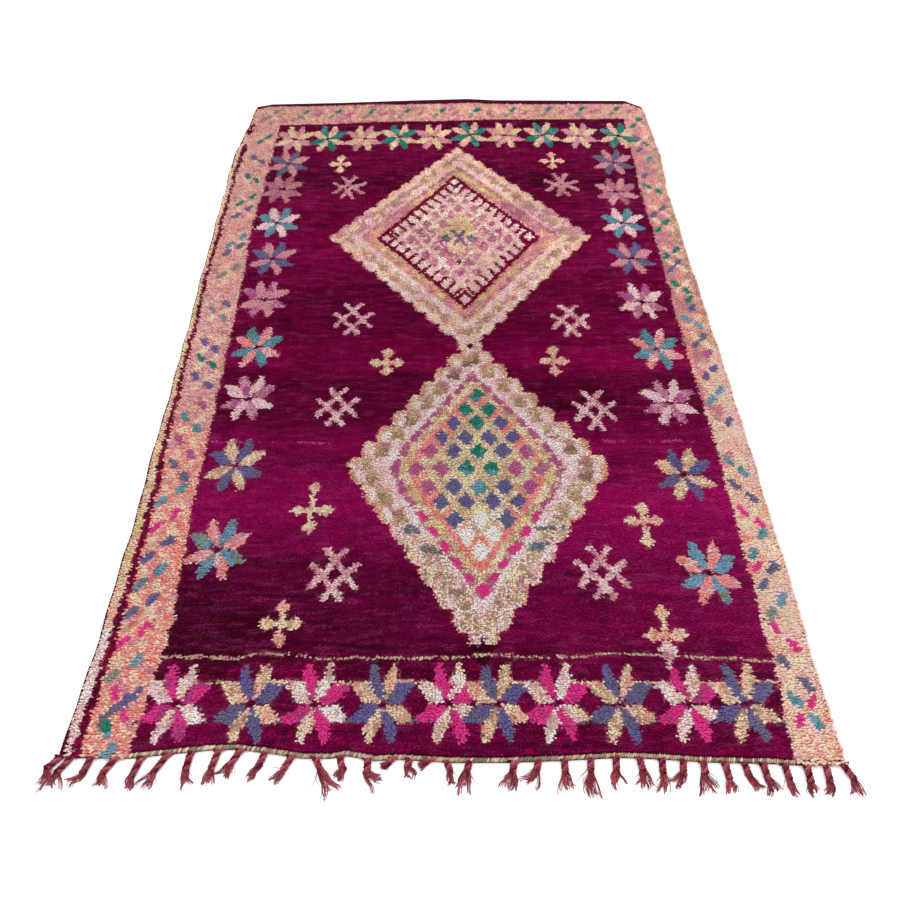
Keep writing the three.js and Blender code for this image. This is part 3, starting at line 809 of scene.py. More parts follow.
# The middle of the rosy stretch, half its length, and how its ends bend
ROSY_MIDDLE, ROSY_HALF, ROSY_BEND, ROSY_GRAIN = 2045, 85, 50, (60, 60, 46)
UPPER_LINE_CORNERS = ((17, 2340), (328, 1932), (52, 1528), (-264, 1924))
LINE_WIDTH, LINE_OUT, LINE_MARGIN = 17, 2, 9
# The teeth's pitch and width, where they start and stop short of a corner, how much longer they are than
# the steps below, and those steps across and along for each side
COMB_PITCH, COMB_WIDTH, COMB_START, COMB_STOP, COMB_LENGTH = 43, 13, 72, 62, 1.18
COMB_RUNS = ((-21, -43), (-26, 40), (27, 37), (33, -38))
# The rings of mauve are squares of a slanting grid, which grow inwards and are uneven
SPOT_PITCH, SPOT_FROM, SPOT_GRAIN, SPOT_STRAY = (60, 98), 44, (30, 40, 44), 0.05
SPOT_SIZE, SPOT_GROWTH, SPOT_LARGEST, SPOT_UNEVEN = 0.22, (40, 480), 0.4, 0.12
HEART, HEART_HALF, HEART_EDGE, HEART_UNEVEN = (34, 1968), (88, 155), 0.85, 0.5
HEART_GRAIN = (20, 26, 45)
HEART_CROSS = (((8, 1974), (58, 1884)), ((52, 1974), (14, 1888)))
HEART_CROSS_WIDTH = 13
UPPER_FIGURES = (((-12, 1927), (18, 26), "grey blue", "grey green", "indigo"),
                 ((78, 1927), (18, 26), "grey blue", "grey green", "indigo"),
                 ((33, 1782), (11, 14), "maroon"))
CORNER_DIAMONDS = ((18, 2300), (-228, 1924), (290, 1934), (50, 1572))
DIAMOND_RING, DIAMOND_EYE = (40, 51), (20, 26)


def dye_upper_steps(chart):
    """The bands of the upper lozenge, paler below and rosy above."""
    bands = lozenge_bands(chart, UPPER_CORNERS, UPPER_DYES, UPPER_ROWS, UPPER_SHARE)
    near, depth, _, steps, blocks, _ = bands
    x, y = chart.x[near], chart.y[near]
    rosy = abs(y - ROSY_MIDDLE) < ROSY_HALF + ROSY_BEND * soft_noise(x, y, ROSY_GRAIN)
    inner = (depth > PALE_BAND) & (depth < LINE_BAND)
    chart.tie(near[(y < PALE_STEPS_END) & steps & ~blocks], "pale pink", "ivory", "cream", share=0.95)
    chart.tie(near[(y < PALE_STEPS_END) & blocks], "cream", "beige", "pale pink", share=0.4)
    chart.tie(near[rosy & steps & ~blocks], "lilac", "pink", "rose tan", "pale pink", share=0.8)
    chart.tie(near[rosy & blocks], "rose tan", "lilac", "beige", share=0.5)
    chart.tie(near[rosy & inner], "rose tan", "pink", "dusty mauve", share=0.8)
    chart.tie(near[(y < PALE_BANDS_END) & inner], "pink", "peach", share=0.5)


def dye_heart(chart, near, x, y, depth):
    """The rings of mauve and the yellow heart with its indigo cross."""
    middle_x, middle_y = x - HEART[0], y - HEART[1]
    spot_u = middle_x / SPOT_PITCH[0] + middle_y / SPOT_PITCH[1]
    spot_v = middle_x / SPOT_PITCH[0] - middle_y / SPOT_PITCH[1]
    spot = np.maximum(abs(spot_u % 1 - 0.5), abs(spot_v % 1 - 0.5))
    size = np.clip(SPOT_SIZE + (depth - SPOT_GROWTH[0]) / SPOT_GROWTH[1], 0, SPOT_LARGEST)
    size = size + SPOT_UNEVEN * soft_noise(x, y, SPOT_GRAIN)
    spots = (depth > SPOT_FROM) & (spot < size + chart.random.normal(0, SPOT_STRAY, len(x)))
    chart.tie(near[spots], "dusty mauve", "rose tan", "pink", "mauve", share=0.85)
    closeness = abs(middle_x) / HEART_HALF[0] + abs(middle_y) / HEART_HALF[1]
    yellow = closeness + HEART_UNEVEN * soft_noise(x, y, HEART_GRAIN) < HEART_EDGE
    chart.tie(near[yellow], "straw", "straw", "beige", "cream", share=0.85)
    for start, end in HEART_CROSS:
        chart.stroke(start, end, HEART_CROSS_WIDTH, "grey blue", "indigo", "mauve")
    for figure in UPPER_FIGURES:
        chart.lozenge(*figure)


def dye_comb(chart):
    corners = np.array(UPPER_LINE_CORNERS, float)
    for corner, opposite, tooth in zip(corners, np.roll(corners, -1, axis=0), COMB_RUNS):
        length = np.hypot(*(opposite - corner))
        for place in np.arange(COMB_START, length - COMB_STOP, COMB_PITCH):
            start = corner + (opposite - corner) * place / length
            chart.stroke(start, start + np.array(tooth) * COMB_LENGTH, COMB_WIDTH, "wine")


def dye_upper_lozenge(chart):
    dye_upper_steps(chart)
    near, x, y = knots_round(chart, UPPER_LINE_CORNERS, LINE_MARGIN)
    depth = side_depths(x, y, UPPER_LINE_CORNERS)[0]
    chart.tie(near[depth > 0], "pale pink", "ivory", "cream", "pale pink")
    dye_heart(chart, near, x, y, depth)
    chart.tie(near[(depth > -LINE_OUT) & (depth < LINE_WIDTH - LINE_OUT)], "wine")
    dye_comb(chart)
    for centre in CORNER_DIAMONDS:
        chart.lozenge(centre, DIAMOND_RING, "wine")
        chart.lozenge(centre, DIAMOND_EYE, "ivory", "pale pink")


# %% [markdown]
# Where the two lozenges meet, a small pale neck with a maroon eye joins them. A thin pale line across the
# field, near where the weaver started, comes last.

# %% The whole pattern
LOZENGE_NECK = ((24, 1320), (30, 1388), (95, 1388), (99, 1320))
NECK_EYE = ((61, 1340), (11, 15), "maroon")
NEAR_LINE = ((-683, 250), (-610, 252), (-500, 248), (-450, 262), (-380, 259), (-300, 247), (-250, 250),
             (-150, 248), (0, 250), (100, 256), (200, 253), (300, 250), (385, 263), (480, 256), (560, 253),
             (660, 247), (765, 237))
NEAR_LINE_WIDTH = 6


def dyed_chart(across, along, seed):
    """The chart of knots at places in millimetres, with the whole pattern tied."""
    chart = Chart(across, along, seed)
    for part in (dye_field, dye_border, dye_stars, dye_crosses, dye_upper_lozenge, dye_lower_lozenge):
        part(chart)
    chart.polygon(LOZENGE_NECK, "beige", "pale pink", "cream")
    chart.lozenge(*NECK_EYE)
    chart.line(NEAR_LINE, NEAR_LINE_WIDTH, "hemp", "beige", "rose tan", "beige", "hemp")
    return chart


# %% [markdown]
# Each knot of the real pile is a short lock of wool that leans with the nap. Its shape here is a slim lock
# with four faces: a three-sided cone with one base corner drawn out to the root. It has so few faces because
# more than a hundred thousand copies of it make the pile. It lies along X, so that a turn about X twists it
# about its own axis. Its UV map has a small fan for it, with the base's face beside the others, so that no
# two faces share a place.

# %% One tuft
TUFT_BELLY = 0.64
BAKE_MAP = "OFBake"
# How far a fan reaches from its middle
FAN_REACH = (0.22, 0.46)


def into_piece(name, bm, smooth=False):
    """Turns a bmesh into a piece of the scene."""
    for face in bm.faces:
        face.smooth = smooth
    mesh = bpy.data.meshes.new(name)
    bm.to_mesh(mesh)
    bm.free()
    print(name + ":", len(mesh.vertices), "vertices,", len(mesh.polygons), "faces")
    return into_scene(name, mesh)


def make_tuft():
    bm = bmesh.new()
    bmesh.ops.create_cone(bm, cap_ends=True, cap_tris=False, segments=3, radius1=1, radius2=0,
                          depth=1 - TUFT_BELLY)
    bmesh.ops.remove_doubles(bm, verts=bm.verts, dist=0.001)
    bmesh.ops.translate(bm, verts=bm.verts, vec=(0, 0, (1 + TUFT_BELLY) / 2))
    tip = max(bm.verts, key=lambda vert: vert.co.z)
    root = max((vert for vert in bm.verts if vert != tip), key=lambda vert: vert.co.y)
    fans = bm.loops.layers.uv.new(BAKE_MAP)
    # The three flanks share the fan's left half, and the face at the base has the right half
    for face in bm.faces:
        at_base = tip not in face.verts
        for loop in face.loops:
            place = loop.vert.co
            loop[fans].uv = (0.25 + 0.5 * at_base + FAN_REACH[0] * place.x, 0.5 + FAN_REACH[1] * place.y)
    bmesh.ops.translate(bm, verts=[root], vec=(0, -1, -TUFT_BELLY))
    for axis in "ZY":
        bmesh.ops.rotate(bm, verts=bm.verts, matrix=Matrix.Rotation(math.pi / 2, 3, axis))
    bmesh.ops.recalc_face_normals(bm, faces=bm.faces)
    return into_piece("tuft", bm, smooth=True)


tuft = make_tuft()

# %% [markdown]
# The knots stand in rows that follow the cloth's own bent grid, a little out of step with each other. The
# nap leans towards the near end, more in some places than in others, and sideways by turns. The root is
# set back by part of the lean, so that the tip lands where the chart has it. The first rows draw back to
# leave room for a cord along the field's near edge, and past the cord they lean over the edge.

# %% The knots' places and their lean
KNOT_ACROSS = 5.9
KNOT_ALONG = 5.9
KNOT_SCATTER = 0.35
INSET_LEFT = 5.5
INSET_RIGHT = -0.5
BLANKET_LENGTH = 2944
# The pile's height, and how much shorter a lock may be
PILE_HEIGHT, SHORTER = 14, 1.2
# How high its lumps are, the share of the broad and the fine ones, and their lengths across and along
PILE_LUMP, BROAD_LUMP, FINE_LUMP = 1.1, 0.6, 0.4
BROAD_LENGTHS, FINE_LENGTHS = (83, 117), (31, 47)
KNOT_SEED = 7
# How far the nap leans towards the near end, for each unit that it rises, at places along the rug
NAP_ALONG = ((0, -1.5), (500, -2.0), (1200, -1.9), (1700, -1.2), (2300, -0.8), (2970, -0.6))
NAP_TO_SIDES = 1.4
SIDES_UPRIGHT = 0.5
# How strongly the lean waves over the cloth, from knot to knot, and in matted locks, with their grains
LEAN_WAVES_ACROSS = ((0.5, (170, 90, 51)), (0.3, (30, 26, 52)), (0.5, (12, 18, 55)))
LEAN_WAVES_ALONG = ((0.3, (140, 110, 53)), (0.25, (28, 30, 54)), (0.35, (12, 12, 56)))
LEAN_STRAY = 0.07
# Places across, and how strongly the matted locks lean there
CALM = (720, 780), (1.0, 0.45)
# Near a long edge the sideways lean dies down to this share of it, with so much more left at the right one
EDGE_REACH, EDGE_LEAN, RIGHT_EDGE_LEAN = 20, 0.2, 0.4
OVERHANG, OVERHANG_REACH = 5, 14
CORD_ROOM, CORD_REACH = 11, 45
CORD_LEFT, CORD_RIGHT = -702, 750

knots_across = round(NEAR_WIDTH / KNOT_ACROSS)
knots_along = round(BLANKET_LENGTH / KNOT_ALONG)
count = knots_across * knots_along
knot_random = np.random.default_rng(KNOT_SEED)


def scattered(numbers):
    return numbers + 0.5 + knot_random.uniform(-KNOT_SCATTER, KNOT_SCATTER, count)


def waving(lean, broad, fine, locks):
    """A lean that waves over the cloth, and strays a little at each knot."""
    lean = lean + broad[0] * soft_noise(knot_x, knot_y, broad[1])
    lean = lean + fine[0] * soft_noise(knot_x, knot_y, fine[1]) + knot_random.normal(0, LEAN_STRAY, count)
    return lean + locks[0] * calm * soft_noise(knot_x, knot_y, locks[1])


place_across = scattered(np.tile(np.arange(knots_across), knots_along))
place_along = scattered(np.repeat(np.arange(knots_along), knots_across))
knot_x, knot_y = in_plan(place_across / knots_across, place_along / knots_along)
across_share = (knot_x - left_edge(knot_y)) / (right_edge(knot_y) - left_edge(knot_y))
knot_x = knot_x + INSET_LEFT * (1 - across_share) - INSET_RIGHT * across_share

outwards = knot_x / SIDE_RIGHT[0]
calm = np.interp(knot_x, *CALM)
lean_x = waving(NAP_TO_SIDES * outwards, *LEAN_WAVES_ACROSS)
lean_y = waving(between(NAP_ALONG, knot_y) * (1 - SIDES_UPRIGHT * outwards ** 2), *LEAN_WAVES_ALONG)
side_room = np.minimum(across_share, 1 - across_share) * NEAR_WIDTH
lean_x = lean_x * np.clip(side_room / EDGE_REACH, EDGE_LEAN + RIGHT_EDGE_LEAN * (across_share > 0.5), 1)
broad_lump = np.sin(knot_x / BROAD_LENGTHS[0]) * np.cos(knot_y / BROAD_LENGTHS[1])
fine_lump = np.sin(knot_x / FINE_LENGTHS[0] + knot_y / FINE_LENGTHS[1])
tip_height = PILE_HEIGHT + PILE_LUMP * (BROAD_LUMP * broad_lump + FINE_LUMP * fine_lump)
tip_height = tip_height - knot_random.uniform(0, SHORTER, count)
from_near = knot_y - near_edge(knot_x)
past_cord = (knot_x < CORD_LEFT) | (knot_x > CORD_RIGHT)
knot_y = knot_y - OVERHANG * np.clip(1 - from_near / OVERHANG_REACH, 0, 1) * past_cord
knot_y = knot_y + CORD_ROOM * np.clip(1 - from_near / CORD_REACH, 0, 1) * ~past_cord
print(knots_across, "x", knots_along, "=", count, "knots, tips", tip_height.min().round(1), "to",
      tip_height.max().round(1), "mm high")

# %% [markdown]
# The chart now gives each knot its dye. Wool never takes it evenly, so each tuft is a little lighter or
# darker than its neighbour, and whole weft rows drift together. The locks lie in clumps a finger wide, and
# the shade in the gaps between them is painted into the knots' colours, most of all in the pale wool near
# the viewer. That painted shade is redder, as the dyes that have run show in the gaps. The middle of the
# near half has a painted pool of light: its pale wool is painted a little lighter, with shallower gap shade.

# %% The knots' dyes
TUFT_VARIATION = 0.06
FIELD_VARIATION = 0.12
ROW_VARIATION, ROW_DRIFT = 0.05, (160, 8, 62)
# How deep the painted shade in the gaps between pale locks goes
GAP_SHADE_DEPTH = 0.5
# How bright a dye is that counts as wholly pale, and how much lighter its locks are
PALE_LEVEL, PALE_LIGHT = 0.4, 1.14
# How pale wool's hue follows its lightness: painted shade and darker tufts turn redder
SHADE_HUE = (-0.35, 0.15, 0.1)
LIGHT_RANGE = (0.25, 1.5)
# Places along or across the rug, and the strength at each
GAP_SHADE_ALONG = (700, 1500), (1.0, 0.5)
GAP_SHADE_ACROSS = (-820, -780, 720, 780), (0.6, 1.0, 1.0, 0.15)
CLUMPS_ALONG = (1500, 2600), (1, 0.5)
PALE_FADE = (1500, 1750, 2400, 2900), (0, 0.04, 0.06, 0.1)
# The painted pool of light: its place, reach, how full it is, the light it adds and how much it fills the
# gaps
LIT_MIDDLE, LIT_HALF, LIT_CORE, LIT_LIGHT, LIT_FILL = (80, 780), (400, 560), 1.35, 0.14, 0.35
# How much the stripes and the clumps each add to the painted gap shade
GAP_SHADE_FROM_STRIPES, GAP_SHADE_FROM_CLUMPS = 1.2, 0.25
PATTERN_SEED = 61
# The gaps' stripes of painted shade run along the rug in its middle, and across it towards the sides
SIDE_GAPS = (2.4, 1.4)
CLUMP, GAPS_UP, GAPS_SIDEWAYS = (14, 20, 64), (8, 20, 65), (20, 8, 66)

knot_chart = dyed_chart(knot_x, knot_y, PATTERN_SEED)
paleness = np.clip(np.sqrt(knot_chart.colour.mean(1) * knot_chart.colour[:, 1]) / PALE_LEVEL, 0, 1)
# Painted shade in the gaps between pale locks: how strong it is at each place
gap_shade_strength = np.interp(knot_y, *GAP_SHADE_ALONG) * np.interp(knot_x, *GAP_SHADE_ACROSS)
# A painted pool of light over the middle of the near half
from_middle = np.hypot((knot_x - LIT_MIDDLE[0]) / LIT_HALF[0], (knot_y - LIT_MIDDLE[1]) / LIT_HALF[1])
middle_lit = np.clip(LIT_CORE - from_middle, 0, 1)
to_side = np.clip(abs(outwards) * SIDE_GAPS[0] - SIDE_GAPS[1], 0, 1)
clump = soft_noise(knot_x, knot_y, CLUMP)
gaps = soft_noise(knot_x, knot_y, GAPS_UP) * (1 - to_side)
gaps = gaps + soft_noise(knot_x, knot_y, GAPS_SIDEWAYS) * to_side
tuft_light = 1 - (1 - PALE_LIGHT) * paleness + TUFT_VARIATION * knot_random.normal(0, 1, count)
tuft_light = tuft_light + FIELD_VARIATION * (1 - paleness) * np.interp(knot_y, *CLUMPS_ALONG) * (clump + gaps)
tuft_light = tuft_light + ROW_VARIATION * soft_noise(knot_x, knot_y, ROW_DRIFT)
# Painted shade: pale locks are darkened where the gaps and clumps fall, less in the painted pool of light
tuft_light = tuft_light * (1 - GAP_SHADE_DEPTH * gap_shade_strength * paleness * (1 - LIT_FILL * middle_lit)
                           * np.clip(GAP_SHADE_FROM_STRIPES * gaps + GAP_SHADE_FROM_CLUMPS * clump, 0, 1))
tuft_light = tuft_light * (1 - paleness * np.interp(knot_y, *PALE_FADE))
# Painted pool of light: the pale wool there is painted lighter
tuft_light = tuft_light * (1 + LIT_LIGHT * paleness * middle_lit)
tuft_light = np.clip(tuft_light, *LIGHT_RANGE)[:, None]
# Painted shade turns pale wool redder, and so do the darker tufts
shade_power = 1 + paleness[:, None] * np.array(SHADE_HUE)
knot_colour = np.clip(knot_chart.colour * tuft_light ** shade_power, 0, 1)
print("mean knot colour", knot_colour.mean(0).round(3))

# %% [markdown]
# Geometry Nodes place the tufts: one instance on each point, turned and sized by attributes of the points,
# and then made real. The pile is made in panels from the near end to the far one, so that no mesh is too
# large to handle.

# %% Tying the knots
PANELS = 5
ROOT_HEIGHT = 2.0
SET_BACK = 0.7
TUFT_RADIUS, RADIUS_SPREAD = 6.3, (0.93, 1.07)
TWIST = 0.2
# The attributes of points, with the kind of each and the name of its values
ATTRIBUTES = {"turn": ("FLOAT_VECTOR", "vector"), "size": ("FLOAT_VECTOR", "vector"),
              "dye": ("FLOAT_COLOR", "color"), "reach": ("FLOAT", "value"), "tone": ("FLOAT", "value")}


def keep_attribute(mesh, name, values):
    kind, key = ATTRIBUTES[name]
    values = np.insert(values, 3, 1, axis=1) if name == "dye" else values
    mesh.attributes.new(name, kind, "POINT").data.foreach_set(key, values.ravel())


def made_real(holder, **options):
    """The mesh that an object's modifier or bevel makes. The object goes."""
    depsgraph = bpy.context.evaluated_depsgraph_get()
    mesh = bpy.data.meshes.new_from_object(holder.evaluated_get(depsgraph), depsgraph=depsgraph, **options)
    bpy.data.objects.remove(holder)
    return mesh


def instance_tree(shape):
    """A node group that puts a shape on every point, turned and sized by the point's attributes."""
    tree = bpy.data.node_groups.new("place " + shape.name, "GeometryNodeTree")
    for in_out in ("INPUT", "OUTPUT"):
        tree.interface.new_socket("Geometry", in_out=in_out, socket_type="NodeSocketGeometry")
    start, piece, place, turn, to_rotation, size, real, end = (tree.nodes.new(kind) for kind in (
        "NodeGroupInput", "GeometryNodeObjectInfo", "GeometryNodeInstanceOnPoints",
        "GeometryNodeInputNamedAttribute", "FunctionNodeEulerToRotation",
        "GeometryNodeInputNamedAttribute", "GeometryNodeRealizeInstances", "NodeGroupOutput"))
    piece.inputs["Object"].default_value = shape
    for reader, name in ((turn, "turn"), (size, "size")):
        reader.data_type = "FLOAT_VECTOR"
        reader.inputs["Name"].default_value = name
    for source, output, target, socket in (
            (start, 0, place, "Points"), (piece, "Geometry", place, "Instance"),
            (turn, "Attribute", to_rotation, 0), (to_rotation, 0, place, "Rotation"),
            (size, "Attribute", place, "Scale"), (place, "Instances", real, "Geometry"),
            (real, "Geometry", end, 0)):
        tree.links.new(source.outputs[output], target.inputs[socket])
    return tree


def place_copies(name, shape, tree, places, turns, sizes, colours):
    """Copies of a shape at places in metres, as one mesh with a dye and a reach from root to tip."""
    points = bpy.data.meshes.new(name + " points")
    points.vertices.add(len(places))
    points.vertices.foreach_set("co", places.ravel())
    keep_attribute(points, "turn", turns)
    keep_attribute(points, "size", sizes)
    holder = into_scene(name + " points", points)
    holder.modifiers.new("copies", "NODES").node_group = tree
    mesh = made_real(holder, preserve_all_data_layers=True)
    mesh.name = name
    for key in ("turn", "size"):
        if key in mesh.attributes:
            mesh.attributes.remove(mesh.attributes[key])
    keep_attribute(mesh, "dye", np.repeat(colours, len(shape.data.vertices), axis=0))
    keep_attribute(mesh, "reach", np.tile([vert.co.x for vert in shape.data.vertices], len(places)))
    print(name, len(mesh.vertices), "vertices,", len(mesh.polygons), "faces")
    return into_scene(name, mesh)


def spread_fans(piece, copies):
    """Gives each copy its own cell of the UV map."""
    layer = piece.data.uv_layers[BAKE_MAP]
    fans = np.zeros(len(piece.data.loops) * 2, np.float32)
    layer.data.foreach_get("uv", fans)
    across = math.ceil(math.sqrt(copies))
    number = np.arange(copies)
    cells = np.stack([number % across, number // across], axis=-1)[:, None, :]
    layer.data.foreach_set("uv", ((fans.reshape(copies, -1, 2) + cells) / across).ravel())


def tie_panel(number):
    low, high = knots_along * number // PANELS, knots_along * (number + 1) // PANELS
    part = slice(low * knots_across, high * knots_across)
    aside, forward = lean_x[part], lean_y[part]
    lean = np.hypot(aside, forward)
    copies = len(lean)
    rise = tip_height[part] - ROOT_HEIGHT
    set_back = SET_BACK * rise
    roots = to_frame(knot_x[part] - set_back * aside, knot_y[part] - set_back * forward, ROOT_HEIGHT)
    twist = knot_random.normal(0, TWIST, copies)
    turns = np.stack([twist, np.arctan(lean) - math.pi / 2, np.arctan2(forward, aside)], -1)
    radius = TUFT_RADIUS * knot_random.uniform(*RADIUS_SPREAD, copies) * MM
    sizes = np.stack([rise * np.sqrt(1 + lean ** 2) * MM, radius, radius], -1)
    panel = place_copies(f"pile_{number + 1}", tuft, knot_tree, roots, turns, sizes, knot_colour[part])
    spread_fans(panel, copies)
    return panel


knot_tree = instance_tree(tuft)
pile_panels = [tie_panel(number) for number in range(PANELS)]
bpy.data.objects.remove(tuft)

# %% [markdown]
# Two closed sheets lie under the tips. The woven ground is the lower one: from below it is the rug's back,
# where every knot is a small square of its dye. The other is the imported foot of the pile, which shows
# between the locks, so it has their dyes. Each is a fine grid that takes colours from the same chart. The
# grid's edge is drawn to the sheet's other side, and one flat fill closes it there.

# %% The woven ground
BACK_STEP = 10
GROUND_THICKNESS = 3
BED_STEP = 9
BED_HEIGHT = 8.5
BED_INSET = 7
BED_GAP = 0.3
BACK_SEED = 71


def open_rim(bm):
    return [edge for edge in bm.edges if edge.is_boundary]


def close_at(bm, height):
    """Draws the open edge of a sheet up or down to a height and fills it, so that the sheet is closed."""
    for part in bmesh.ops.extrude_edge_only(bm, edges=open_rim(bm))["geom"]:
        if isinstance(part, bmesh.types.BMVert):
            part.co.z = height
    bmesh.ops.holes_fill(bm, edges=open_rim(bm), sides=0)
    bmesh.ops.recalc_face_normals(bm, faces=bm.faces)


def sheet_in_plan(columns, rows, place):
    """A grid whose points are moved to places in metres worked out from their shares across and along."""
    bm = bmesh.new()
    bmesh.ops.create_grid(bm, x_segments=columns, y_segments=rows, size=0.5)
    shares = np.array([vert.co[:2] for vert in bm.verts]) + 0.5
    for vert, spot in zip(bm.verts, place(shares[:, 0], shares[:, 1])):
        vert.co = spot
    return bm


def dyed_sheet(name, step, inset, web, face_height, other_height, seed):
    """A closed sheet with the chart's dyes on the grid of one side. Lengths are in millimetres."""
    def place(share_across, share_along):
        across, along = in_plan(share_across, share_along, web)
        return to_frame(across + inset * (1 - 2 * share_across), along + inset * (1 - 2 * share_along),
                        face_height)

    bm = sheet_in_plan(round(NEAR_WIDTH / step), round((BLANKET_LENGTH + WEB_DEPTH - web) / step), place)
    face_points = len(bm.verts)
    close_at(bm, other_height * MM)
    sheet = into_piece(name, bm)
    places = np.zeros(len(sheet.data.vertices) * 3)
    sheet.data.vertices.foreach_get("co", places)
    places = places.reshape(-1, 3) / MM
    colours = dyed_chart(places[:, 0] - STEP_X, places[:, 1] - STEP_Y, seed).colour
    colours[face_points:] = DYES["maroon"]
    keep_attribute(sheet.data, "dye", colours)
    return sheet


ground = dyed_sheet("woven_ground", BACK_STEP, 0, 0, 0, GROUND_THICKNESS, BACK_SEED)
# The pile's foot takes the knots' dyes, and its finish paints them darker and redder, as shade between the
# locks
pile_bed = dyed_sheet("pile_bed", BED_STEP, BED_INSET, WEB_DEPTH, BED_HEIGHT, GROUND_THICKNESS + BED_GAP,
                      PATTERN_SEED)

# %% [markdown]
# The far end has no pile: it is a narrow weft-faced web, dyed dark. Its weft passes over and under the
# warps by turns, so it shows rows of small beads. The same band, narrower, lies along the near end, and
# the tassels leave from it. A grid carries the relief, with its heights worked out from the weave.

# %% The flat-woven bands
WARP_PITCH = 6.2
WEFT_PITCH = 3.6
BEAD_RELIEF, WEFT_SHOWS = 1.1, 0.35
GRID_PER_WARP, GRID_PER_WEFT = 3, 2
BAND_UNDERSIDE = 2.0
# How far the far web runs under the pile, and the depth of the near strip and of its part outside the pile
FAR_OVERLAP, NEAR_DEPTH, NEAR_OUTSIDE = 3, 4.0, 4.3
FAR_TOP, NEAR_TOP = 4.8, 3.4


def beads(across, along_in_band):
    """The height of a weft-faced weave, 0 to 1."""
    row = np.floor(along_in_band / WEFT_PITCH)
    over = 0.5 + 0.5 * np.cos(2 * math.pi * (across / WARP_PITCH + 0.5 * (row % 2)))
    round_weft = np.sin(math.pi * np.clip(along_in_band / WEFT_PITCH - row, 0, 1))
    return (WEFT_SHOWS + (1 - WEFT_SHOWS) * over) * round_weft


def make_band(name, start, depth, top):
    """A woven band. Start gives the near side of the band for places across, all in millimetres."""
    def place(share_across, share_along):
        along = start(SIDE_LEFT[0] + NEAR_WIDTH * share_across) + depth * share_along
        across = left_edge(along) + (right_edge(along) - left_edge(along)) * share_across
        return to_frame(across, along, top - BEAD_RELIEF * (1 - beads(across, depth * share_along)))

    columns = round(NEAR_WIDTH / WARP_PITCH * GRID_PER_WARP)
    bm = sheet_in_plan(columns, max(2, round(depth / WEFT_PITCH)) * GRID_PER_WEFT, place)
    close_at(bm, BAND_UNDERSIDE * MM)
    return into_piece(name, bm, smooth=True)


far_web = make_band("far_web", lambda across: far_edge(across) - WEB_DEPTH - FAR_OVERLAP,
                    WEB_DEPTH + FAR_OVERLAP, FAR_TOP)
near_strip = make_band("near_strip", lambda across: near_edge(across) - NEAR_OUTSIDE, NEAR_DEPTH, NEAR_TOP)

# %% [markdown]
# The long edges are overcast: a yarn is wrapped round the outermost warps, stitch by stitch. One wrap is a
# flattened bead that leans along the edge. The same node group that ties the knots sets a row of them down
# each side.

# %% The overcast edges
# Where the wraps start and end, and how far they stop short of the far edge
WRAPS_FROM, WRAPS_END, WRAP_SHORT = 12, BLANKET_LENGTH + WEB_DEPTH - 10, 3
WRAP_PITCH = 6.5
WRAP_SIZE = (3.7, 2.6, 2.6)
WRAP_LEAN, WRAP_LEAN_STRAY = 0.5, 0.12
WRAP_INSET, WRAP_STRAY = 2.4, 0.3
WRAP_HEIGHT = 2.9
WRAP_SEED = 81
# The spread of the wraps' sizes, and of how light they are
WRAP_SPREAD, WRAP_LIGHT = (0.92, 1.1), (0.75, 1.2)


def make_wrap():
    bm = bmesh.new()
    bmesh.ops.create_uvsphere(bm, u_segments=6, v_segments=4, radius=1)
    return into_piece("wrap", bm, smooth=True)


def turned_level(angle, stray, random, number):
    """Turns about the upright, each near one angle."""
    turns = np.zeros((number, 3))
    turns[:, 2] = angle + random.uniform(-stray, stray, number)
    return turns


def overcast(name, side, dye):
    """Wraps down one side, -1 for the left and 1 for the right."""
    along = np.arange(WRAPS_FROM, WRAPS_END, WRAP_PITCH)
    edge = left_edge(along) if side < 0 else right_edge(along)
    random = np.random.default_rng(WRAP_SEED + side)
    across = edge - side * (WRAP_INSET + random.uniform(-WRAP_STRAY, WRAP_STRAY, len(along)))
    keep = (along > near_edge(across)) & (along < far_edge(across) - WRAP_SHORT)
    places = to_frame(across[keep], along[keep], WRAP_HEIGHT)
    turns = turned_level(side * WRAP_LEAN, WRAP_LEAN_STRAY, random, len(places))
    sizes = np.array(WRAP_SIZE) * MM * random.uniform(*WRAP_SPREAD, (len(places), 1))
    colours = np.outer(random.uniform(*WRAP_LIGHT, len(places)), DYES[dye])
    return place_copies(name, wrap, wrap_tree, places, turns, sizes, colours)


wrap = make_wrap()
wrap_tree = instance_tree(wrap)
overcast_left = overcast("overcast_left", -1, "maroon")
overcast_right = overcast("overcast_right", 1, "rose tan")

# %% [markdown]
# Along the near end of the field a thick pale yarn is twined over the warps before the first knots. Its
# turns are the same bead, longer and slanted, set side by side along the bent edge.

# %% The twined cord
CORD_PITCH = 5.2
CORD_SIZE = (7.0, 2.9, 4.6)
CORD_SLANT, CORD_SLANT_STRAY = 1.05, 0.2
CORD_INSET, CORD_STRAY = 1, 0.6
CORD_HEIGHT = 5.2
CORD_SPREAD, CORD_LIGHT = (0.88, 1.12), (0.48, 0.92)
CORD_DYES = ("hemp", "beige", "hemp shade", "cream", "hemp shade")
CORD_PATCH, CORD_PATCH_STRAY = (45, 1, 85), 0.3
CORD_SEED = 84


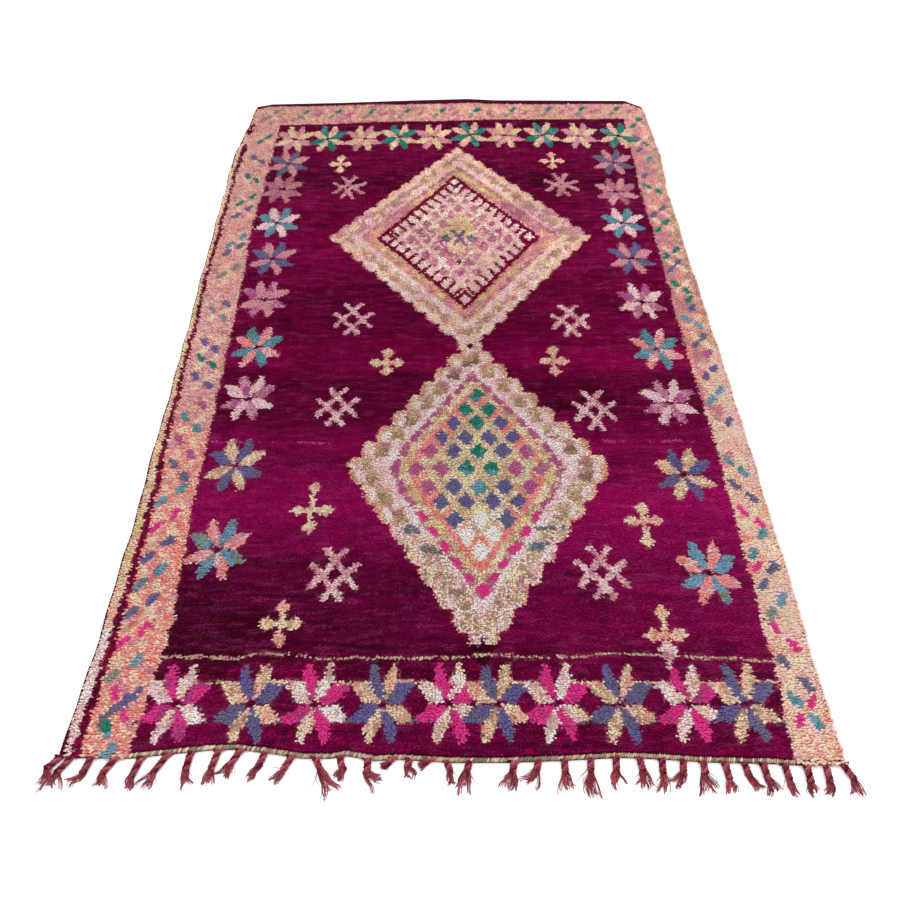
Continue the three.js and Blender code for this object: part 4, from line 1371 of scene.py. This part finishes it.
def twined_cord():
    random = np.random.default_rng(CORD_SEED)
    across = np.arange(CORD_LEFT, CORD_RIGHT, CORD_PITCH)
    number = len(across)
    along = near_edge(across) + CORD_INSET + random.uniform(-CORD_STRAY, CORD_STRAY, number)
    turns = turned_level(CORD_SLANT, CORD_SLANT_STRAY, random, number)
    sizes = np.array(CORD_SIZE) * MM * random.uniform(*CORD_SPREAD, (number, 1))
    dyes = np.array([DYES[name] for name in CORD_DYES])
    patch = soft_noise(across, 0 * across, CORD_PATCH) * 0.5 + 0.5
    patch = patch + random.uniform(-CORD_PATCH_STRAY, CORD_PATCH_STRAY, number)
    picked = np.clip(patch * len(dyes), 0, len(dyes) - 1).astype(int)
    colours = dyes[picked] * random.uniform(*CORD_LIGHT, (number, 1))
    places = to_frame(across, along, CORD_HEIGHT)
    return place_copies("near_cord", wrap, wrap_tree, places, turns, sizes, colours)


near_cord = twined_cord()
bpy.data.objects.remove(wrap)

# %% [markdown]
# A tassel starts as three plies that gather in a V under the edge. They twist round each other down the
# neck, and past it they come apart in locks of curly fibres, with a few strays between them. Curves with a
# radius at each point make both: six-sided ones for the plies, and four-sided ones for the fibres. All of
# them rest on the floor.

# %% The tassels
# Root across, then the end of the neck and the tip, as steps across and towards the viewer
TASSELS = ((-849, -24, 28, -16, 66), (-825, -23, 36, -22, 75), (-782, -11, 39, -33, 65),
           (-728, -21, 36, -29, 69), (-673, -13, 49, -17, 77), (-616, -24, 43, -37, 78),
           (-567, -5, 44, -2, 89), (-507, -11, 48, -16, 78), (-458, -19, 36, -34, 73),
           (-404, -12, 35, -37, 65), (-344, -17, 32, -44, 56), (-295, 15, 29, 44, 86),
           (-241, 9, 33, -6, 57), (-179, 0, 33, 33, 54), (-124, -14, 16, -26, 24), (-88, -4, 20, 5, 50),
           (-42, -14, 9, -28, 15), (-7, 7, 24, 11, 51), (43, -7, 24, -11, 72), (140, -5, 27, -13, 67),
           (194, -7, 22, -30, 53), (249, 0, 34, 6, 72), (307, -3, 30, -9, 84), (362, -2, 31, -8, 71),
           (413, 4, 32, 4, 76), (462, -3, 36, -2, 79), (508, -6, 36, -32, 58), (550, 1, 30, 9, 72),
           (597, 3, 40, 7, 77), (639, 5, 35, 23, 67), (679, 4, 39, 14, 70), (726, 2, 37, 7, 73),
           (773, 0, 42, 8, 70), (815, -1, 42, -2, 73), (852, 16, 36, 25, 78))
TASSEL_SEED = 91
ROOT_INSET, NECK_BOW = 1.0, 6
GATHER_HALF, GATHER_END, GATHER_POWER, GATHER_THIN = 15, 0.3, 1.5, 0.35
PLY_TONES, PLY_TONE_STRAY = (0.1, 0.35, 0.65), 0.1
PLY_RADIUS, PLY_ORBIT, PLY_PITCH = 4.6, 4.4, 24
# How much a ply's thickness varies, and how often for each turn of the twist
PLY_SWELL, PLY_SWELLS = 0.1, 3
PLY_STEPS = 14
LOCKS, FIBRES, STRAYS = 6, 34, 4
FIBRE_STEPS = 7
# A lock's fan, share of the length, start of its wave, curl and tone: how far each of them may go
LOCK_FAN, LOCK_LENGTH, LOCK_WAVE, LOCK_CURL, LOCK_TONE = 0.3, (0.6, 1.05), (0, 6.28), (0.4, 1), (0, 0.6)
FIBRE_CURL, FIBRE_WAVES = 7, 5.5
FIBRE_FAN, FIBRE_LENGTH = 0.07, (0.85, 1.08)
FIBRE_RADIUS, FIBRE_THICKNESS, FIBRE_TAPER = 1.25, (0.7, 1.2), 0.55
STRAY_FAN, STRAY_LENGTH, STRAY_THICKNESS = (0.5, 1.0), 0.6, 0.55
FIBRE_LIFT, LIFT_START, FIBRE_GAP, TIP_PALER = 5.0, 0.35, 0.1, 0.4
# The fibres start inside the neck, spread over its width
FIBRE_ROOT, FIBRE_ROOT_HALF = 9, 4.5


def neck_and_tip(row):
    """The root of a tassel, the end of its neck and its tip, in millimetres."""
    root_x, neck_x, neck_y, tip_x, tip_y = row
    edge = float(near_edge(root_x))
    return (np.array([root_x, edge + ROOT_INSET]), np.array([root_x + neck_x, edge - neck_y]),
            np.array([root_x + tip_x, edge - tip_y]))


def bend_between(start, middle, end, share):
    """A point of a smooth curve with one bend."""
    return start * (1 - share) ** 2 + middle * 2 * share * (1 - share) + end * share ** 2


def ply_lines(row, random):
    """The plies of one tassel as lists of (across, along, up, radius, tone), in millimetres."""
    root, neck, _ = neck_and_tip(row)
    bend = (root + neck) / 2 + np.array([-row[1] / NECK_BOW, 0])
    length = np.hypot(*(neck - root))
    lines = []
    for ply, tone in enumerate(PLY_TONES):
        phase = 2 * math.pi * ply / len(PLY_TONES) + row[0]
        start_side = GATHER_HALF * (ply - (len(PLY_TONES) - 1) / 2)
        tone = tone + random.uniform(-PLY_TONE_STRAY, PLY_TONE_STRAY)
        line = []
        for share in np.linspace(0, 1, PLY_STEPS):
            spot = bend_between(root, bend, neck, share)
            apart = max(0.0, 1 - share / GATHER_END) ** GATHER_POWER
            turn = phase + 2 * math.pi * length * share / PLY_PITCH
            side = PLY_ORBIT * math.cos(turn) * (1 - apart) + start_side * apart
            up = PLY_RADIUS + PLY_ORBIT * (1 + math.sin(turn)) * (1 - apart) * 0.5
            swell = 1 - PLY_SWELL + PLY_SWELL * math.sin(PLY_SWELLS * turn)
            line.append((spot[0] + side, spot[1], up, PLY_RADIUS * swell * (1 - GATHER_THIN * apart), tone))
        lines.append(line)
    return lines


def fibre_lines(row, random):
    """The loose fibres of one tassel, from inside the neck's end to round about its tip."""
    _, neck, tip = neck_and_tip(row)
    run = tip - neck
    reach = np.hypot(*run)
    forward = run / reach
    aside = np.array([forward[1], -forward[0]])
    locks = [(random.normal(0, LOCK_FAN), random.uniform(*LOCK_LENGTH), random.uniform(*LOCK_WAVE),
              random.uniform(*LOCK_CURL) * FIBRE_CURL, random.uniform(*LOCK_TONE)) for lock in range(LOCKS)]
    lines = []
    for number in range(FIBRES + STRAYS):
        stray = number >= FIBRES
        fan, part, wave, curl, tone = locks[number % LOCKS]
        if stray:
            fan = random.choice([-1, 1]) * random.uniform(*STRAY_FAN)
        else:
            fan = fan + random.normal(0, FIBRE_FAN)
        length = reach * part * random.uniform(*FIBRE_LENGTH) * (STRAY_LENGTH if stray else 1)
        thickness = FIBRE_RADIUS * (STRAY_THICKNESS if stray else random.uniform(*FIBRE_THICKNESS))
        lift = random.uniform(0, FIBRE_LIFT)
        start = neck - forward * FIBRE_ROOT + aside * random.uniform(-FIBRE_ROOT_HALF, FIBRE_ROOT_HALF)
        line = []
        for share in np.linspace(0, 1, FIBRE_STEPS):
            spread = fan * share * length + curl * math.sin(wave + FIBRE_WAVES * share) * share
            spot = start + forward * (FIBRE_ROOT + length) * share + aside * spread
            radius = thickness * (1 - FIBRE_TAPER * share)
            up = radius + lift * math.sin(math.pi * min(1, LIFT_START + share * (1 - LIFT_START)))
            line.append((spot[0], spot[1], up + FIBRE_GAP, radius, tone + TIP_PALER * share))
        lines.append(line)
    return lines


def strands_mesh(name, lines, sides):
    """A mesh of round strands, open at both ends, along lists of (across, along, up, radius, tone)."""
    curve = bpy.data.curves.new(name, "CURVE")
    curve.dimensions = "3D"
    curve.bevel_depth = MM
    curve.bevel_resolution = sides
    curve.use_fill_caps = False
    for line in np.array(lines):
        spline = curve.splines.new("POLY")
        spline.points.add(len(line) - 1)
        places = np.insert(to_frame(line[:, 0], line[:, 1], line[:, 2]), 3, 1, axis=1)
        spline.points.foreach_set("co", places.ravel())
        spline.points.foreach_set("radius", line[:, 3])
    mesh = made_real(into_scene(name, curve))
    bpy.data.curves.remove(curve)
    tones = np.array(lines)[:, :, 4].ravel()
    keep_attribute(mesh, "tone", np.repeat(tones, len(mesh.vertices) // len(tones)))
    return mesh


def make_tassels():
    random = np.random.default_rng(TASSEL_SEED)
    plies, fibres = [], []
    for row in TASSELS:
        plies += ply_lines(row, random)
        fibres += fibre_lines(row, random)
    print(len(plies), "plies and", len(fibres), "fibres")
    bm = bmesh.new()
    for mesh in (strands_mesh("plies", plies, 1), strands_mesh("fibres", fibres, 0)):
        bm.from_mesh(mesh)
        bpy.data.meshes.remove(mesh)
    bmesh.ops.holes_fill(bm, edges=open_rim(bm), sides=0)
    bmesh.ops.recalc_face_normals(bm, faces=bm.faces)
    return into_piece("tassels", bm, smooth=True)


tassels = make_tassels()

# %% [markdown]
# The materials are maths on a few patterns. One small class wraps a node's output, so that a plain
# expression such as 1 - mask adds the node that works it out. Another holds a material and has one method
# that adds any other node from its type, its settings and its inputs.

# %% Shader maths
class Value:
    """One output of a node, on which ordinary sums add Math nodes."""

    def __init__(self, bench, socket):
        self.bench, self.socket = bench, socket

    def sum(self, operation, first, second):
        return self.bench.node("ShaderNodeMath", {"operation": operation}, {0: first, 1: second})

    def __add__(self, other):
        return self.sum("ADD", self, other)

    def __sub__(self, other):
        return self.sum("SUBTRACT", self, other)

    def __rsub__(self, other):
        return self.sum("SUBTRACT", other, self)

    def __mul__(self, other):
        return self.sum("MULTIPLY", self, other)

    __radd__ = __add__
    __rmul__ = __mul__


class Finish:
    """A material with one Principled surface, and the method that adds its other nodes."""

    def __init__(self, name, **constants):
        self.material = bpy.data.materials.new(name)
        self.material.use_nodes = True
        self.tree = self.material.node_tree
        self.surface = self.tree.nodes["Principled BSDF"]
        for socket, value in constants.items():
            self.surface.inputs[socket.replace("_", " ")].default_value = value

    def node(self, kind, settings=None, inputs=None, output=None):
        made = self.tree.nodes.new(kind)
        for key, value in (settings or {}).items():
            setattr(made, key, value)
        for key, value in (inputs or {}).items():
            socket = made.inputs[key] if isinstance(key, int) else self.open_socket(made.inputs, key)
            self.put(socket, value)
        found = self.open_socket(made.outputs, output) if output else made.outputs[0]
        return Value(self, found)

    def open_socket(self, sockets, name):
        return next(socket for socket in sockets if socket.name == name and socket.enabled)

    def put(self, socket, value):
        if isinstance(value, Value):
            self.tree.links.new(value.socket, socket)
        else:
            socket.default_value = value

    def attribute(self, name, output):
        return self.node("ShaderNodeAttribute", {"attribute_name": name}, None, output)

    def place(self):
        return self.node("ShaderNodeTexCoord", None, None, "Object")

    def noise(self, scale, detail=2.0, stretch=(1, 1, 1)):
        spot = self.node("ShaderNodeMapping", None, {"Vector": self.place(), "Scale": stretch})
        inputs = {"Vector": spot, "Scale": scale, "Detail": detail}
        return self.node("ShaderNodeTexNoise", None, inputs, "Fac")

    def ridges(self, place, direction, scale, distortion):
        """Even rows of ridges over the cloth."""
        wave = {"wave_type": "BANDS", "bands_direction": direction, "wave_profile": "SIN"}
        inputs = {"Vector": place, "Scale": scale, "Distortion": distortion}
        return self.node("ShaderNodeTexWave", wave, inputs, "Fac")

    def scaled(self, colour, factor):
        return self.node("ShaderNodeVectorMath", {"operation": "SCALE"}, {"Vector": colour, "Scale": factor})

    def times(self, colour, other):
        return self.node("ShaderNodeVectorMath", {"operation": "MULTIPLY"}, {0: colour, 1: other})

    def mixed(self, factor, first, second):
        settings = {"data_type": "RGBA"}
        return self.node("ShaderNodeMix", settings, {"Factor": factor, "A": first, "B": second}, "Result")

    def bump(self, height, strength, distance):
        inputs = {"Height": height, "Strength": strength, "Distance": distance}
        self.put(self.surface.inputs["Normal"], self.node("ShaderNodeBump", None, inputs))

    def colour(self, value):
        self.put(self.surface.inputs["Base Color"], value)

    def dress(self, *pieces):
        for piece in pieces:
            piece.data.materials.clear()
            piece.data.materials.append(self.material)


# %% [markdown]
# Pile wool is matt, with a faint sheen at the tips. A tuft's colour is painted darker and redder at its
# root: painted shade where little light gets in, and the run dye that shows there. Its fibres show as fine
# streaks of light and dark. The foot of the pile is painted dark and redder too, as painted shade between
# the locks. The back is a net of knots, as ridges along the rows times ridges across them. The web, the
# wraps and the tassels are plain yarn, with a fine noise for its fibres and a broad one for its dye.

# %% The wool finishes
# Painted shade and run dye at a tuft's root: the colour there, no change, and how far up it fades
ROOT_SHADE_AND_STAIN, NO_ROOT_SHADE, ROOT_SHADE_REACH, ROOT_SHADE_START = (0.5, 0.34, 0.37, 1), (1.0, 1.0, 1.0, 1), 1.6, 0.1
# Painted shade on the pile's foot between the locks: a redder tint
BED_SHADE_TINT = (1.0, 0.78, 0.8)
SHEEN_TINT = (1.0, 0.45, 0.7, 1.0)
ROWS_SCALE, COLUMNS_SCALE = 46.2, 50.7
TASSEL_DARK, TASSEL_PALE = (0.09, 0.003, 0.013, 1), (0.5, 0.1, 0.13, 1)
TASSEL_CONTRAST, TASSEL_FLOOR, TASSEL_PATCHES = 3.2, 0.78, 0.9


def rgba(name, light=1.0):
    return tuple(float(part) * light for part in DYES[name]) + (1.0,)


def pile_finish():
    wool = Finish("wool pile", Roughness=0.92, Sheen_Weight=0.05, Sheen_Roughness=0.5,
                  Sheen_Tint=SHEEN_TINT, Specular_IOR_Level=0.04)
    dye, reach = wool.attribute("dye", "Color"), wool.attribute("reach", "Fac")
    streak = wool.noise(scale=300, stretch=(1, 0.4, 1))
    light = 1.0 + (streak - 0.5) * 0.5
    # Painted shade, with some run dye: darker and redder towards the root
    root_shade_and_stain = wool.mixed(reach * ROOT_SHADE_REACH - ROOT_SHADE_START, ROOT_SHADE_AND_STAIN, NO_ROOT_SHADE)
    wool.colour(wool.times(wool.scaled(dye, light), root_shade_and_stain))
    wool.bump(streak, strength=0.5, distance=0.0012)
    return wool


def back_finish():
    back = Finish("rug back", Roughness=0.95, Specular_IOR_Level=0.15)
    dye = back.attribute("dye", "Color")
    place = back.place()
    rows = back.ridges(place, "Y", ROWS_SCALE, 0.6)
    columns = back.ridges(place, "X", COLUMNS_SCALE, 0.4)
    knot = rows * (0.5 + columns * 0.5)
    fibre = back.noise(scale=900)
    light = 0.6 + fibre * 0.5
    back.colour(back.mixed(knot * 0.85 + 0.1, rgba("maroon", 0.6), back.scaled(dye, light)))
    back.bump(knot + fibre * 0.3, strength=0.7, distance=0.0012)
    return back


def wrap_finish():
    yarn = Finish("overcast yarn", Roughness=0.92, Specular_IOR_Level=0.08)
    fibre = yarn.noise(scale=800)
    yarn.colour(yarn.scaled(yarn.attribute("dye", "Color"), 0.6 + fibre * 0.7))
    yarn.bump(fibre, strength=0.5, distance=0.0005)
    return yarn


def bed_finish():
    wool = Finish("pile foot", Roughness=0.95, Specular_IOR_Level=0.03)
    fibre = wool.noise(scale=420, detail=3.0)
    # Painted shade: the foot of the pile is much darker than its dye, and redder, where it shows between the
    # locks
    dark = wool.scaled(wool.attribute("dye", "Color"), 0.22 + fibre * 0.5)
    wool.colour(wool.times(dark, BED_SHADE_TINT))
    wool.bump(fibre, strength=0.8, distance=0.003)
    return wool


def tassel_finish():
    yarn = Finish("tassel yarn", Roughness=0.9, Specular_IOR_Level=0.1)
    fibre = yarn.noise(scale=340, detail=3.0)
    patch = yarn.noise(scale=60)
    tone = yarn.attribute("tone", "Fac") + (patch - 0.5) * TASSEL_PATCHES
    colour = yarn.mixed(tone, TASSEL_DARK, TASSEL_PALE)
    yarn.colour(yarn.scaled(colour, fibre * TASSEL_CONTRAST - TASSEL_FLOOR))
    yarn.bump(fibre, strength=0.8, distance=0.0012)
    return yarn


def web_finish():
    yarn = Finish("web yarn", Roughness=0.92, Specular_IOR_Level=0.06)
    fibre = yarn.noise(scale=650, detail=3.0)
    tone = yarn.noise(scale=38)
    yarn.colour(yarn.scaled(yarn.mixed(tone, rgba("maroon", 0.3), rgba("maroon", 0.8)), 0.6 + fibre * 0.8))
    yarn.bump(fibre, strength=0.6, distance=0.0006)
    return yarn


pile_finish().dress(*pile_panels)
back_finish().dress(ground)
wrap_finish().dress(overcast_left, overcast_right, near_cord)
bed_finish().dress(pile_bed)
tassel_finish().dress(tassels)
web_finish().dress(far_web, near_strip)
print("materials:", [material.name for material in bpy.data.materials])

# %% [markdown]
# Every piece rides on the rug's one body. The woven ground is the sheet of cloth, and the pile, bands,
# overcast edges and tassels are on it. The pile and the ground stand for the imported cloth, and the tassels
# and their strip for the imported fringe.

cloth_pieces = pile_panels + [ground, pile_bed, far_web, overcast_left, overcast_right]
fringe_pieces = [tassels, near_strip, near_cord]
for piece in cloth_pieces + fringe_pieces:
    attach(piece, "root")
for piece in cloth_pieces:
    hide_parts("rug_body")
for piece in fringe_pieces:
    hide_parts("fringe")

# %% [markdown]
# The floor is plain and pale. A bright, even sky gives soft light from all sides. Two soft panels high above
# the rug, the stronger one over its near half, give the wool its gentle shading.

# %% Floor and light
FLOOR_SIZE = 14.0
FLOOR_GREYS = (0.94, 0.94, 0.94, 1), (0.96, 0.96, 0.96, 1)
PANEL_SIZE = 2.5
# The place of each panel, and its watts
PANEL_LIGHTS = {"key": ((-0.4, -0.9, 4.0), 66), "fill": ((1.8, 1.4, 3.2), 36)}

bm = bmesh.new()
bmesh.ops.create_grid(bm, x_segments=1, y_segments=1, size=FLOOR_SIZE / 2)
floor = into_piece("floor", bm)
floor_finish = Finish("pale floor", Roughness=0.9)
floor_finish.colour(floor_finish.mixed(floor_finish.noise(scale=3), *FLOOR_GREYS))
floor_finish.dress(floor)

world = bpy.data.worlds.new("studio")
world.use_nodes = True
world.node_tree.nodes["Background"].inputs["Color"].default_value = (1, 1, 1, 1)
world.node_tree.nodes["Background"].inputs["Strength"].default_value = 1.0
bpy.context.scene.world = world
bpy.context.scene.view_settings.view_transform = "Standard"
for name, (place, watts) in PANEL_LIGHTS.items():
    light = bpy.data.lights.new(name, "AREA")
    light.shape = "SQUARE"
    light.size = PANEL_SIZE
    light.energy = watts
    panel = into_scene(name, light)
    panel.location = place
    panel.rotation_euler = (-Vector(place)).to_track_quat("-Z", "Y").to_euler()

# %% [markdown]
# Last comes the count of triangles in each piece, and in all.

# %% The sizes and the end
bpy.context.view_layer.update()
faces = {piece.name: sum(len(face.vertices) - 2 for face in piece.data.polygons)
         for piece in cloth_pieces + fringe_pieces}
print("triangles:", faces, "in all", sum(faces.values()))
